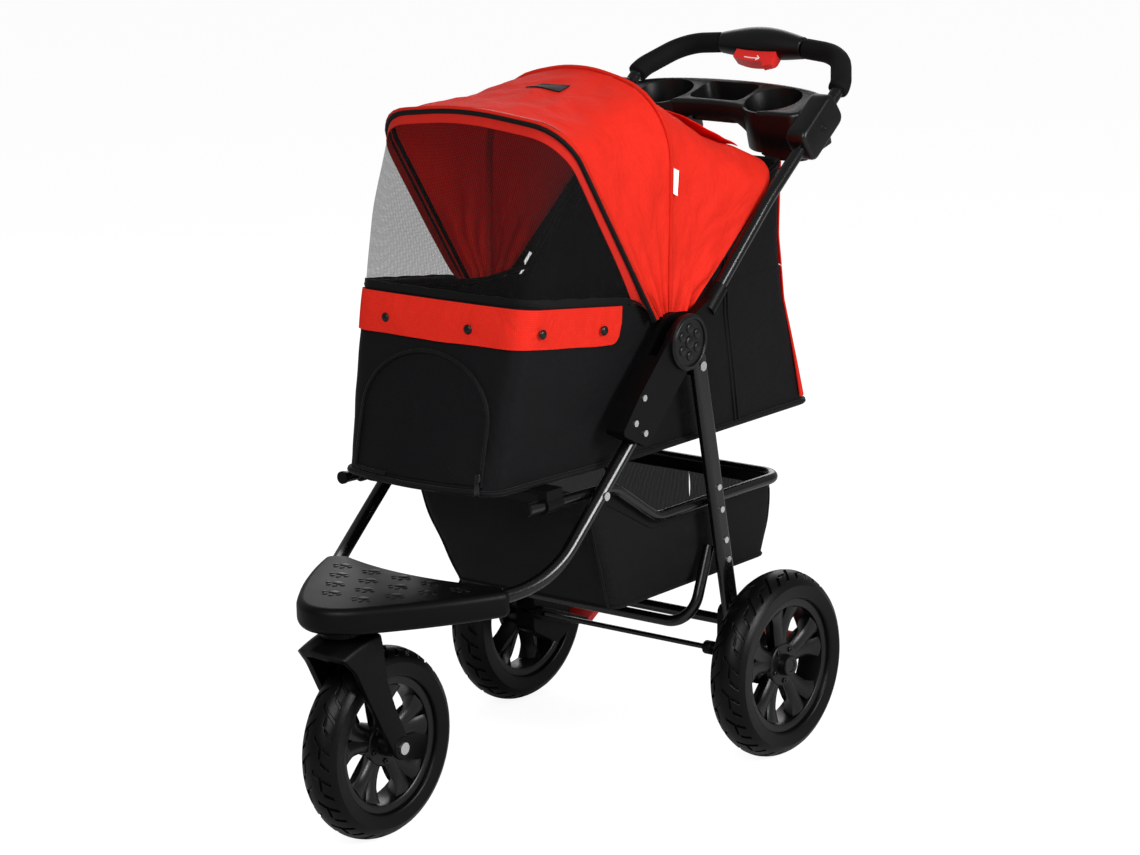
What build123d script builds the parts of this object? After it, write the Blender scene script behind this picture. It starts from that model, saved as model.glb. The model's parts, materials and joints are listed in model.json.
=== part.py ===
"""Three-wheel folding pet stroller, in millimetres.

Front is -Y, the left side is +X, up is +Z. The origin is on the ground, under the middle of the outline.
"""
import os
from math import atan2, cos, degrees, hypot, radians, sin

from build123d import *

os.makedirs("parts", exist_ok=True)

# Clearances
RUN = 0.05  # radial play of a turning pin in its bore
SEAT = 0.1  # play between a moulding and the tube it grips
CLOTH_GAP = 0.3  # room between cloth and what carries it

# Half widths, from the tub's cloth outwards
TUB_HALF = 154.3
MID_HOOP_STEP = 3.9  # from the tub to the middle hoop's wire
FRONT_HOOP_STEP = 6.4  # from the middle hoop's wire to the front hoop's
BASKET_STEP = 10.3  # from the tub to the middle of the basket's tube
BRACKET_STEP = 14.0  # from the tub to the hinge bracket
BRACKET_W = 31.7
FRAME_STEP = 28.7  # from the tub to the middle of the front tube
HANDLE_STEP = 1.0  # from the front tube's middle to the handle tube's
HOUSING_INSIDE = 14.0  # how far a brake housing reaches inwards and outwards of the handle tube
HOUSING_OUTSIDE = 20.0
MID_HOOP_X = TUB_HALF + MID_HOOP_STEP
FRONT_HOOP_X = MID_HOOP_X + FRONT_HOOP_STEP
BASKET_TUBE_X = TUB_HALF + BASKET_STEP
BRACKET_IN = TUB_HALF + BRACKET_STEP
BRACKET_OUT = BRACKET_IN + BRACKET_W
FRAME_X = TUB_HALF + FRAME_STEP
HANDLE_X = FRAME_X + HANDLE_STEP
HOUSING_IN = HANDLE_X - HOUSING_INSIDE
HOUSING_OUT = HANDLE_X + HOUSING_OUTSIDE

# Wheels
REAR_WHEEL_R = 137.0
FRONT_WHEEL_R = 134.0
TYRE_W = 60.0
TYRE_H = 39.0
TREAD_CROWN = 3.0
SHOULDER_W = 38.0
SHOULDER_DROP = 15.0
RIM_W = 44.0
RIM_T = 13.0
HUB_R = 24.0
REAR_HUB_L = 46.0
FRONT_HUB_L = 64.0
SPOKES = 5
SPOKE_T = 15.0
SPOKE_W = 10.0
SPOKE_SPLIT_HUB = 9.0  # degrees between the two legs of a spoke at the hub
SPOKE_SPLIT_RIM = 26.0  # degrees between them at the rim
BUSH_WALL = 3.0
CAP_R = 21.0
CAP_T = 6.0
CAP_WALL = 2.0

# Where the wheels stand
TYRE_CLEAR = 7.0  # between a rear tyre and the housing beside it
REAR_TRACK = 2 * (HOUSING_OUT + TYRE_CLEAR + TYRE_W / 2)
REAR_AXLE_Y = 195.0
SWIVEL_Y = -470.0
TRAIL = 65.0  # how far the front axle runs behind the swivel
FRONT_AXLE_Y = SWIVEL_Y + TRAIL
AXLE_R = 5.0
AXLE_HEAD_R = 8.5
AXLE_HEAD_T = 2.0

# Swivel fork
FORK_INNER_X = 37.0
FORK_T = 10.0
CROWN_CLEAR = 4.0  # between the front tyre and the fork crown
CROWN_Z = 2 * FRONT_WHEEL_R + CROWN_CLEAR
CROWN_T = 30.0
FORK_EYE_R = 15.0
KING_PIN_R = 7.0
KING_BUSH_T = 3.0
HEAD_R = 27.0
HEAD_GAP = 1.0
NUT_R = 8.0
NUT_T = 6.0

# Side frames
FRONT_TUBE_R = 10.0
TUBE_WALL = 1.6
FRONT_TUBE_TOP = (-15.0, 556.0)
KNEE_RISE = 78.5  # heights of the tube's bends over the fork crown
TURN_RISE = 58.0
NOSE_RISE = 56.0
TURN_BACK = 88.0  # how far its last bends lie behind the swivel
NOSE_BACK = 38.0
FRONT_TUBE_KNEE = (-248.0, CROWN_Z + KNEE_RISE)
FRONT_TUBE_TURN = (110.0, SWIVEL_Y + TURN_BACK, CROWN_Z + TURN_RISE)
FRONT_TUBE_NOSE = (45.0, SWIVEL_Y + NOSE_BACK, CROWN_Z + NOSE_RISE)
FRONT_TUBE_BENDS = (160.0, 110.0, 50.0)

# Footrest
FOOTREST_RISE = 80.0  # height of its top over the fork crown
FOOTREST_TOP = CROWN_Z + FOOTREST_RISE
FOOTREST_DEPTH = 38.0
FOOTREST_WALL = 3.0
FOOTREST_REAR_Y = -304.0
FOOTREST_END_GAP = 27.0  # from the front tube's middle to the footrest's corner
FOOTREST_END_X = FRAME_X - FOOTREST_END_GAP
FOOTREST_SIDE_BACK = 66.0  # how far its side's middle lies behind the swivel, and its shoulder ahead
FOOTREST_SHOULDER_LEAD = 20.0
FOOTREST_NOSE_LEAD = 28.0  # from the caster head to the tip of the nose
FOOTREST_SIDE = (124.0, SWIVEL_Y + FOOTREST_SIDE_BACK)
FOOTREST_SHOULDER = (60.0, SWIVEL_Y - FOOTREST_SHOULDER_LEAD)
FOOTREST_NOSE_Y = SWIVEL_Y - HEAD_R - FOOTREST_NOSE_LEAD
FOOTREST_ROUND = 9.0
SLEEVE_T = 3.0
SLEEVE_FROM = 0.42  # where the footrest's tube sleeves begin and end, as a share of the tube's sloping run
SLEEVE_TO = 0.58

# Fold hinge
HINGE = (45.0, 634.0)
HINGE_PIN_R = 5.0
DISC_R = 40.0
DISC_T = 6.0
DISC_DISH = 1.5
EAR_T = 7.2
EAR_R = 37.0
POCKET_R = 62.0
BRACKET_OUTLINE = ((32.0, 671.0), (-68.0, 574.0), (-106.0, 530.0), (-50.0, 502.0), (50.0, 597.0))
BRACKET_ROUND = 7.0
BRACKET_SCREWS = ((-56.0, 573.0), (-76.0, 541.0), (-55.0, 523.0))
SCREW_R = 2.2
SCREW_HEAD_R = 4.6
SCREW_HEAD_T = 2.2
SCREW_L = 5.0

# Rear legs
LEG_PIVOT = (91.0, 590.0)
LEG_FOOT = (174.0, 158.0)
LEG_W = 30.0
LEG_T = 16.0
LEG_PIN_R = 4.0
LEG_PIN_HEAD_R = 7.0
LEG_TOP = 15.0
LEG_SCREW_Z = (407.0, 373.0, 326.0, 296.0)

# Handle frame
HANDLE_TUBE_R = 9.5
KNUCKLE_R = 20.0
KNUCKLE_PLAY = 0.5
SOCKET = (118.0, 672.0)
SOCKET_R = 13.0
SOCKET_L = 34.0
HANDLE_KINK = (264.0, 802.0)
HANDLE_TOP = (450.0, 943.0)
BAR_CORNER_IN = 42.0  # how far the bar's corner lies inside the side tube
HANDLE_CORNER = (HANDLE_X - BAR_CORNER_IN, 512.0, 977.0)
HANDLE_BAR = (519.1, 988.0)
HANDLE_BENDS = (500.0, 55.0, 65.0, 420.0)
GRIP_R = 15.0
GRIP_START = 0.93  # how far up the upper side tube the foam begins
COVER_X = 74.0
COVER_R = 21.0
COVER_ROUND = 6.0

# Fold trigger
TRIGGER_W = 68.0
TRIGGER_T = 17.0
TRIGGER_OUT = 40.0
TRIGGER_TRAVEL = 6.0
TRIGGER_CLEAR = 4.0  # room for the bar's bow behind the pressed trigger
TRIGGER_ANGLE = 225.0  # direction from the bar to the trigger, seen from the left side
TRIGGER_PLAY = 0.5
SPRING_R = 4.0
SPRING_X = 18.0

# Cup tray
TRAY_CENTRE = (399.0, 921.0)
TRAY_TILT = 22.0
TRAY_END_GAP = 13.0  # from the handle tube's middle to the tray's end
TRAY_END_X = HANDLE_X - TRAY_END_GAP
TRAY_BACK = 62.0
TRAY_END_BACK = 24.0
TRAY_END_FRONT = -46.0
TRAY_WAIST = -26.0
TRAY_DEPTH = 38.0
TRAY_WALL = 3.0
CUP_X = 99.0
CUP_R = 43.5
CUP_WALL = 4.0
CUP_DEPTH = 62.0
BIN_X = 44.0
BIN_FRONT = -14.0
BIN_BACK = 46.0
BIN_DEPTH = 34.0
CLAMP_AT = 0.63  # how far up the upper side tube the clamp sits
CLAMP_L = 86.0
CLAMP_W = 46.0
CLAMP_PROUD = 16.0  # from the handle tube's middle to the clamp's face
CLAMP_OUT = HANDLE_X + CLAMP_PROUD
CLAMP_ROUND = 7.0

# Canopy hoops, flat arches that turn on the hinge pin
HOOP_WIRE_R = 3.0
HOOP_EYE_R = 10.0
FRONT_HOOP_ANGLE = 123.2
FRONT_HOOP_SIDE = 385.0
FRONT_HOOP_TOP = 410.0
FRONT_HOOP_BENDS = (62.0, 420.0, 62.0)
MID_HOOP_ANGLE = 87.4
MID_HOOP_SIDE = 330.0
MID_HOOP_TOP = 368.0
MID_HOOP_FLAT = 46.2  # half width of the top between the two shoulders
MID_HOOP_SHOULDER = MID_HOOP_X - MID_HOOP_FLAT
MID_HOOP_BENDS = (MID_HOOP_SHOULDER, 240.0, MID_HOOP_SHOULDER)

# Canopy cloth
CLOTH_T = 2.0
CANOPY_FOOT = 66.0
REAR_EDGE_ANGLE = 40.6
REAR_EDGE_SIDE = 348.0
REAR_EDGE_TOP = 362.0
REAR_EDGE_BENDS = (70.0, 600.0, 70.0)
RIM_FRONT = (-243.0, 724.0)
RIM_BACK = (2.0, 691.0)
WINDOW_FOOT_X = TUB_HALF - CLOTH_GAP
WINDOW_BENDS = (34.0, 900.0, 34.0)

# Tub
TUB_FLOOR_Z = 475.0
TUB_TOP_Z = 845.0
TUB_WALL = 2.0
TUB_WIDEST_Y = -20.0
TUB_ROUND = 26.0
TUB_FOOT_TAPER = 21.3  # how much narrower the front is at the floor, and at the door's spring
TUB_DOOR_TAPER = 7.3
TUB_LEVELS = (  # height, front corners, half width at the front, rear edge, bulge of the front
    (TUB_FLOOR_Z, -301.0, TUB_HALF - TUB_FOOT_TAPER, 408.0, 22.0),
    (640.0, -263.0, TUB_HALF - TUB_DOOR_TAPER, 356.0, 12.0),
    (735.0, -240.0, TUB_HALF - CLOTH_GAP, 345.0, 4.0),
    (TUB_TOP_Z, -214.0, TUB_HALF - CLOTH_GAP, 352.0, 2.0),
)
TUB_HANDLE_LINE = ((118.0, 682.0), (262.0, 812.0), (334.0, 842.0))
BOARD_T = 4.0
RIM_WIRE_R = 2.5
DOOR_HALF = 112.0
DOOR_FOOT_Z = 486.0
DOOR_SPRING_Z = 566.0
DOOR_TOP_Z = 655.0
DOOR_GAP = 0.5

# Basket
BASKET_TUBE_R = 8.0
BASKET_NOSE = (-272.0, 455.0)
BASKET_KNEE = (-84.0, 447.5)
BASKET_DIP = (14.0, 383.0)
BASKET_REAR = (320.0, 381.0)
BASKET_BENDS = (60.0, 60.0, 34.0)
RIVET_R = 3.0
RIVET_HEAD_R = 6.0
RIVET_HEAD_T = 2.5
END_CAP_L = 14.0
BASKET_FLOOR_Z = 262.0
BASKET_FLOOR = (-62.0, 306.0)
BASKET_TAPER = 18.6  # how much narrower its floor is than its tube
BASKET_FLOOR_HALF = BASKET_TUBE_X - BASKET_TAPER
BASKET_MOUTH_LEAD = 10.3  # how far the mouth reaches ahead of the rivets
BASKET_MOUTH_REAR = 311.0
BASKET_MOUTH_Z = 458.0
BASKET_ROUND = 22.0
SADDLE_Y = -222.0
SADDLE_L = 34.0
SADDLE_ARM = 46.6
SADDLE_REACH = BASKET_TUBE_X - SADDLE_ARM

# Rear cross members and brake
CROSS_TUBE_R = 8.0
BRACE_TOP = (134.0, 316.0)
BRACE_FOOT = (90.0, 207.0)
BRACE_BEND = 44.0
BEAM = (170.0, 196.0)
HOUSING_OUTLINE = (
    (150.0, 222.0),
    (186.0, 228.0),
    (232.0, 150.0),
    (236.0, 112.0),
    (202.0, 96.0),
    (146.0, 128.0),
)
HOUSING_ROUND = 12.0
HOUSING_SCREWS = ((166.0, 134.0), (219.0, 131.0), (203.0, 109.0))
BRAKE_ROD = (147.0, 158.0)
BRAKE_ROD_R = 4.0
PEDAL_GAP = 6.0  # between a pedal's arm and the housing
PEDAL_W = 14.0
PEDAL_PAD_SHORT = 4.0  # how far the pad stops inside the housing's outer face
PEDAL_OUT = HOUSING_IN - PEDAL_GAP
PEDAL_IN = PEDAL_OUT - PEDAL_W
PEDAL_PAD_OUT = HOUSING_OUT - PEDAL_PAD_SHORT
PEDAL_HEEL = (255.0, 120.0)
PEDAL_TIP = (300.0, 146.0)
PEDAL_T = 11.0
PEDAL_BOSS_R = 10.0

SIDES = ((1, "left"), (-1, "right"))


def in_frame(side, x, yz):
    """A point at half width x and side-view place yz."""
    return (side * x, yz[0], yz[1])


def both_sides(half_route):
    """A route from the left end to the right end, from the left half of its points."""
    return list(half_route) + [(-x, y, z) for x, y, z in reversed(half_route) if x > 0]


def tube(route, bends, outer_r, inner_r=0.0):
    """A round bar or tube swept along straight runs joined by arcs."""
    with BuildPart() as pipe:
        with BuildLine() as path:
            if len(route) > 2:
                FilletPolyline(*route, radius=list(bends))
            else:
                Line(*route)
        with BuildSketch(Plane(origin=path.line @ 0, z_dir=path.line % 0)):
            Circle(outer_r)
            if inner_r:
                Circle(inner_r, mode=Mode.SUBTRACT)
        sweep(path=path.line)
    return pipe.part


def pin(side, yz, x_from, x_to, radius):
    """A round bar along X."""
    with BuildPart() as bar:
        with BuildSketch(Plane.YZ.offset(side * x_from)):
            with Locations(yz):
                Circle(radius)
        extrude(amount=side * (x_to - x_from))
    return bar.part


def along(start, end, share):
    """The point at a share of the way from start to end."""
    return tuple(a + share * (b - a) for a, b in zip(start, end))


def meet(a, b, c, d):
    """Where the lines a-b and c-d cross, in side view."""
    turn = (b[0] - a[0]) * (d[1] - c[1]) - (b[1] - a[1]) * (d[0] - c[0])
    share = ((c[0] - a[0]) * (d[1] - c[1]) - (c[1] - a[1]) * (d[0] - c[0])) / turn
    return along(a, b, share)


def arch_plane(origin, angle):
    """A plane across the frame, whose own Y runs at an angle in the side view."""
    return Plane(
        origin=(0, origin[0], origin[1]),
        x_dir=(1, 0, 0),
        z_dir=(0, -sin(radians(angle)), cos(radians(angle))),
    )


def arch_band(plane, foot, half, side_h, top_h, bends, thickness):
    """A closed band along an arch: two legs, two rounded corners and a crowned top."""
    with BuildSketch(plane) as band:
        for grow, mode in ((thickness, Mode.ADD), (0.0, Mode.SUBTRACT)):
            points = (
                (half + grow, foot),
                (half + grow, side_h + grow),
                (0, top_h + grow),
                (-half - grow, side_h + grow),
                (-half - grow, foot),
            )
            with BuildLine():
                FilletPolyline(*points, radius=[bend + grow for bend in bends])
                Line(points[-1], points[0])
            make_face(mode=mode)
    return band.sketch


def screws(places, face_x):
    """Round-headed screws along X, both sides, with heads on the outer face."""
    with BuildPart() as group:
        for side, _ in SIDES:
            for place in places:
                add(pin(side, place, face_x, face_x + SCREW_HEAD_T, SCREW_HEAD_R))
                add(pin(side, place, face_x - SCREW_L, face_x, SCREW_R))
    return group.part


def screw_holes(side, places, face_x):
    """The holes that such screws sit in, on one side."""
    with BuildPart() as holes:
        for place in places:
            add(pin(side, place, face_x - SCREW_L - SEAT, face_x, SCREW_R + RUN))
    return holes.part


# Front tube: one bent tube, from the left hinge round the nose to the right hinge
basket_pivot = meet(FRONT_TUBE_KNEE, FRONT_TUBE_TOP, BASKET_NOSE, BASKET_KNEE)
front_route = both_sides(
    (
        in_frame(1, FRAME_X, FRONT_TUBE_TOP),
        in_frame(1, FRAME_X, FRONT_TUBE_KNEE),
        FRONT_TUBE_TURN,
        FRONT_TUBE_NOSE,
    )
)
front_bends = FRONT_TUBE_BENDS + FRONT_TUBE_BENDS[::-1]
front_envelope = tube(front_route, front_bends, FRONT_TUBE_R + SEAT)
with BuildPart() as front_tube:
    add(tube(front_route, front_bends, FRONT_TUBE_R, FRONT_TUBE_R - TUBE_WALL))
    for side, _ in SIDES:
        hole_in = FRAME_X - 2 * FRONT_TUBE_R
        hole_out = FRAME_X + 2 * FRONT_TUBE_R
        rivet_hole = pin(side, basket_pivot, hole_in, hole_out, RIVET_R + RUN)
        add(rivet_hole, mode=Mode.SUBTRACT)
front_tube.part.label = "front_tube"
export_step(front_tube.part, "parts/front_tube.step")

# Footrest: an open-bottomed moulded plate over the nose of the front tube
footrest_foot = FOOTREST_TOP - FOOTREST_DEPTH
head_top = FOOTREST_TOP - FOOTREST_WALL


def footrest_outline(inset):
    """Plan outline of the footrest, drawn in from its edge."""
    with BuildSketch(Plane.XY.offset(footrest_foot)) as outline:
        with BuildLine():
            rear = (FOOTREST_END_X, FOOTREST_REAR_Y)
            shoulder = FOOTREST_SHOULDER
            Line((-rear[0], rear[1]), rear)
            ThreePointArc(rear, FOOTREST_SIDE, shoulder)
            ThreePointArc(shoulder, (0, FOOTREST_NOSE_Y), (-shoulder[0], shoulder[1]))
            ThreePointArc(
                (-shoulder[0], shoulder[1]),
                (-FOOTREST_SIDE[0], FOOTREST_SIDE[1]),
                (-rear[0], rear[1]),
            )
        make_face()
        fillet(outline.vertices(), radius=FOOTREST_ROUND)
        if inset:
            offset(amount=-inset, mode=Mode.REPLACE)
    return outline.sketch


with BuildPart() as footrest:
    add(footrest_outline(0))
    extrude(amount=FOOTREST_DEPTH)
    fillet(footrest.faces().sort_by(Axis.Z)[-1].edges(), radius=FOOTREST_ROUND)
    add(footrest_outline(FOOTREST_WALL))
    extrude(amount=FOOTREST_DEPTH - FOOTREST_ROUND, mode=Mode.SUBTRACT)
    add(footrest_outline(FOOTREST_ROUND - 1))
    extrude(amount=FOOTREST_DEPTH - FOOTREST_WALL, mode=Mode.SUBTRACT)
    for side, _ in SIDES:
        knee = in_frame(side, FRAME_X, FRONT_TUBE_KNEE)
        turn = (side * FRONT_TUBE_TURN[0], FRONT_TUBE_TURN[1], FRONT_TUBE_TURN[2])
        sleeve_ends = (along(knee, turn, SLEEVE_FROM), along(knee, turn, SLEEVE_TO))
        add(tube(sleeve_ends, (), FRONT_TUBE_R + SLEEVE_T))
    add(front_envelope, mode=Mode.SUBTRACT)
footrest.part.label = "footrest"
export_step(footrest.part, "parts/footrest.step")

# Caster head: the moulding that grips the tube's nose and carries the swivel pin
head_foot = CROWN_Z + CROWN_T + HEAD_GAP
swivel = (0, SWIVEL_Y)
with BuildPart() as caster_head:
    with BuildSketch(Plane.XY.offset(head_foot)):
        with Locations(swivel):
            Circle(HEAD_R)
        with Locations((0, (SWIVEL_Y + FRONT_TUBE_NOSE[1]) / 2)):
            Rectangle(2 * HEAD_R, FRONT_TUBE_NOSE[1] - SWIVEL_Y + 2 * FRONT_TUBE_R)
    extrude(amount=head_top - head_foot)
    with Locations((0, SWIVEL_Y, head_foot)):
        Cylinder(
            KING_PIN_R + KING_BUSH_T + SEAT,
            head_top - head_foot - FOOTREST_WALL,
            align=(Align.CENTER, Align.CENTER, Align.MIN),
            mode=Mode.SUBTRACT,
        )
    add(front_envelope, mode=Mode.SUBTRACT)
caster_head.part.label = "caster_head"
export_step(caster_head.part, "parts/caster_head.step")

pin_top = head_top - FOOTREST_WALL - HEAD_GAP
with BuildPart() as caster_bush:
    with Locations((0, SWIVEL_Y, head_foot)):
        standing = (Align.CENTER, Align.CENTER, Align.MIN)
        Cylinder(KING_PIN_R + KING_BUSH_T, pin_top - head_foot, align=standing)
        Cylinder(
            KING_PIN_R + RUN,
            pin_top - head_foot,
            align=(Align.CENTER, Align.CENTER, Align.MIN),
            mode=Mode.SUBTRACT,
        )
caster_bush.part.label = "caster_bush"
export_step(caster_bush.part, "parts/caster_bush.step")

# Swivel fork with its king pin
front_axle = (FRONT_AXLE_Y, FRONT_WHEEL_R)
crown_top = CROWN_Z + CROWN_T
fork_out = FORK_INNER_X + FORK_T
crown_front = SWIVEL_Y - HEAD_R
crown_rear = SWIVEL_Y + HEAD_R
with BuildPart() as fork:
    for side, _ in SIDES:
        with BuildSketch(Plane.YZ.offset(side * FORK_INNER_X)):
            with BuildLine():
                heel = (FRONT_AXLE_Y + FORK_EYE_R, FRONT_WHEEL_R)
                toe = (FRONT_AXLE_Y - FORK_EYE_R, FRONT_WHEEL_R)
                Line((crown_front, CROWN_Z + CROWN_T / 3), (crown_front, crown_top))
                Line((crown_front, crown_top), (crown_rear, crown_top))
                knee = along((crown_rear, crown_top), heel, 0.5)
                ThreePointArc((crown_rear, crown_top), (knee[0] + FORK_T, knee[1]), heel)
                ThreePointArc(heel, (FRONT_AXLE_Y, FRONT_WHEEL_R - FORK_EYE_R), toe)
                shin = along(toe, (crown_front, CROWN_Z), 0.6)
                ThreePointArc(toe, (shin[0] + FORK_T, shin[1]), (crown_front, CROWN_Z + CROWN_T / 3))
            make_face()
        extrude(amount=side * FORK_T)
    with Locations((0, SWIVEL_Y, CROWN_Z)):
        Box(2 * FORK_INNER_X, 2 * HEAD_R, CROWN_T, align=(Align.CENTER, Align.CENTER, Align.MIN))
        Cylinder(
            KING_PIN_R + RUN,
            CROWN_T,
            align=(Align.CENTER, Align.CENTER, Align.MIN),
            mode=Mode.SUBTRACT,
        )
    add(pin(1, front_axle, -fork_out, fork_out, AXLE_R + RUN), mode=Mode.SUBTRACT)
fork.part.label = "fork"
export_step(fork.part, "parts/fork.step")

with BuildPart() as king_pin:
    with Locations((0, SWIVEL_Y, CROWN_Z)):
        Cylinder(KING_PIN_R, pin_top - CROWN_Z, align=(Align.CENTER, Align.CENTER, Align.MIN))
king_pin.part.label = "king_pin"
export_step(king_pin.part, "parts/king_pin.step")

with BuildPart() as front_bolt:
    add(pin(1, front_axle, -fork_out - NUT_T, fork_out, AXLE_R))
    add(pin(1, front_axle, fork_out, fork_out + AXLE_HEAD_T * 2, AXLE_HEAD_R))
front_bolt.part.label = "front_axle"
export_step(front_bolt.part, "parts/front_axle.step")

with BuildPart() as front_nut:
    with BuildSketch(Plane.YZ.offset(-fork_out)):
        with Locations(front_axle):
            RegularPolygon(NUT_R, 6)
            Circle(AXLE_R + RUN, mode=Mode.SUBTRACT)
    extrude(amount=-NUT_T)
front_nut.part.label = "front_axle_nut"
export_step(front_nut.part, "parts/front_axle_nut.step")


def build_tyre(centre, wheel_r):
    """A tyre with a crowned tread and rounded shoulders, turned about X."""
    with BuildPart() as tyre:
        with BuildSketch(Plane(origin=centre, x_dir=(1, 0, 0), z_dir=(0, -1, 0))):
            with BuildLine():
                bead = wheel_r - TYRE_H + SEAT
                shoulder = wheel_r - SHOULDER_DROP
                edge = wheel_r - TREAD_CROWN
                half = TYRE_W / 2
                tread = SHOULDER_W / 2
                foot = RIM_W / 2
                bulge = along((half, shoulder), (tread, edge), 0.5)
                corner = (bulge[0] + TREAD_CROWN, bulge[1] + TREAD_CROWN)
                Polyline((-half, shoulder), (-half, bead + TREAD_CROWN), (-foot, bead), (foot, bead),
                         (half, bead + TREAD_CROWN), (half, shoulder))
                ThreePointArc((half, shoulder), corner, (tread, edge))
                ThreePointArc((tread, edge), (0, wheel_r), (-tread, edge))
                ThreePointArc((-tread, edge), (-corner[0], corner[1]), (-half, shoulder))
            make_face()
        revolve(axis=Axis(centre, (1, 0, 0)))
    return tyre.part


def build_rim(centre, wheel_r, hub_l):
    """A moulded wheel: a flat ring, a hub and split spokes."""
    rim_r = wheel_r - TYRE_H
    ring_r = rim_r - RIM_T
    flat = Plane(origin=centre, x_dir=(0, 1, 0), z_dir=(1, 0, 0))
    with BuildPart() as rim:
        with BuildSketch(flat.offset(-RIM_W / 2)):
            Circle(rim_r)
            Circle(ring_r, mode=Mode.SUBTRACT)
        extrude(amount=RIM_W)
        with BuildSketch(flat.offset(-hub_l / 2)):
            Circle(HUB_R)
        extrude(amount=hub_l)
        with BuildSketch(flat.offset(-SPOKE_T / 2)):
            for step in range(SPOKES):
                for lean in (-1, 1):
                    base = 90 + 360 * step / SPOKES
                    root = radians(base + lean * SPOKE_SPLIT_HUB / 2)
                    tip = radians(base + lean * SPOKE_SPLIT_RIM / 2)
                    inner = (HUB_R - RIM_T / 2) * cos(root), (HUB_R - RIM_T / 2) * sin(root)
                    outer = (ring_r + RIM_T / 2) * cos(tip), (ring_r + RIM_T / 2) * sin(tip)
                    turn = atan2(outer[1] - inner[1], outer[0] - inner[0])
                    wide = SPOKE_W / 2 * -sin(turn), SPOKE_W / 2 * cos(turn)
                    Polygon(
                        (inner[0] + wide[0], inner[1] + wide[1]),
                        (inner[0] - wide[0], inner[1] - wide[1]),
                        (outer[0] - wide[0], outer[1] - wide[1]),
                        (outer[0] + wide[0], outer[1] + wide[1]),
                        align=None,
                    )
        extrude(amount=SPOKE_T)
        with BuildSketch(flat.offset(-hub_l / 2)):
            Circle(AXLE_R + BUSH_WALL + SEAT)
        extrude(amount=hub_l, mode=Mode.SUBTRACT)
    return rim.part


def build_bush(centre, hub_l):
    """The plain bearing in a hub."""
    flat = Plane(origin=centre, x_dir=(0, 1, 0), z_dir=(1, 0, 0))
    with BuildPart() as bush:
        with BuildSketch(flat.offset(-hub_l / 2)):
            Circle(AXLE_R + BUSH_WALL)
            Circle(AXLE_R + RUN, mode=Mode.SUBTRACT)
        extrude(amount=hub_l)
    return bush.part


# Front wheel
front_centre = (0, FRONT_AXLE_Y, FRONT_WHEEL_R)
with BuildPart() as front_tyre:
    add(build_tyre(front_centre, FRONT_WHEEL_R))
front_tyre.part.label = "front_tyre"
export_step(front_tyre.part, "parts/front_tyre.step")
with BuildPart() as front_rim:
    add(build_rim(front_centre, FRONT_WHEEL_R, FRONT_HUB_L))
front_rim.part.label = "front_rim"
export_step(front_rim.part, "parts/front_rim.step")
with BuildPart() as front_bush:
    add(build_bush(front_centre, FRONT_HUB_L))
front_bush.part.label = "front_bush"
export_step(front_bush.part, "parts/front_bush.step")

# Rear wheels
rear_axle = (REAR_AXLE_Y, REAR_WHEEL_R)
hub_face = REAR_TRACK / 2 + REAR_HUB_L / 2
for side, word in SIDES:
    rear_centre = (side * REAR_TRACK / 2, REAR_AXLE_Y, REAR_WHEEL_R)
    with BuildPart() as rear_tyre:
        add(build_tyre(rear_centre, REAR_WHEEL_R))
    rear_tyre.part.label = f"rear_tyre_{word}"
    export_step(rear_tyre.part, f"parts/rear_tyre_{word}.step")
    with BuildPart() as rear_rim:
        add(build_rim(rear_centre, REAR_WHEEL_R, REAR_HUB_L))
    rear_rim.part.label = f"rear_rim_{word}"
    export_step(rear_rim.part, f"parts/rear_rim_{word}.step")
    with BuildPart() as rear_bush:
        add(build_bush(rear_centre, REAR_HUB_L))
    rear_bush.part.label = f"rear_bush_{word}"
    export_step(rear_bush.part, f"parts/rear_bush_{word}.step")
    with BuildPart() as hub_cap:
        add(pin(side, rear_axle, hub_face, hub_face + CAP_T, CAP_R))
        outer_face = hub_cap.faces().sort_by(Axis.X)[-1 if side > 0 else 0]
        fillet(outer_face.edges(), radius=CAP_WALL)
        cap_hollow = pin(side, rear_axle, hub_face, hub_face + CAP_T - CAP_WALL, CAP_R - 2 * CAP_WALL)
        add(cap_hollow, mode=Mode.SUBTRACT)
    hub_cap.part.label = f"hub_cap_{word}"
    export_step(hub_cap.part, f"parts/hub_cap_{word}.step")

# Rear axles: a headed stub in each brake housing
with BuildPart() as rear_axles:
    for side, _ in SIDES:
        add(pin(side, rear_axle, HOUSING_IN, hub_face + SEAT, AXLE_R))
        add(pin(side, rear_axle, hub_face + SEAT, hub_face + SEAT + AXLE_HEAD_T, AXLE_HEAD_R))
rear_axles.part.label = "rear_axles"
export_step(rear_axles.part, "parts/rear_axles.step")

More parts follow.
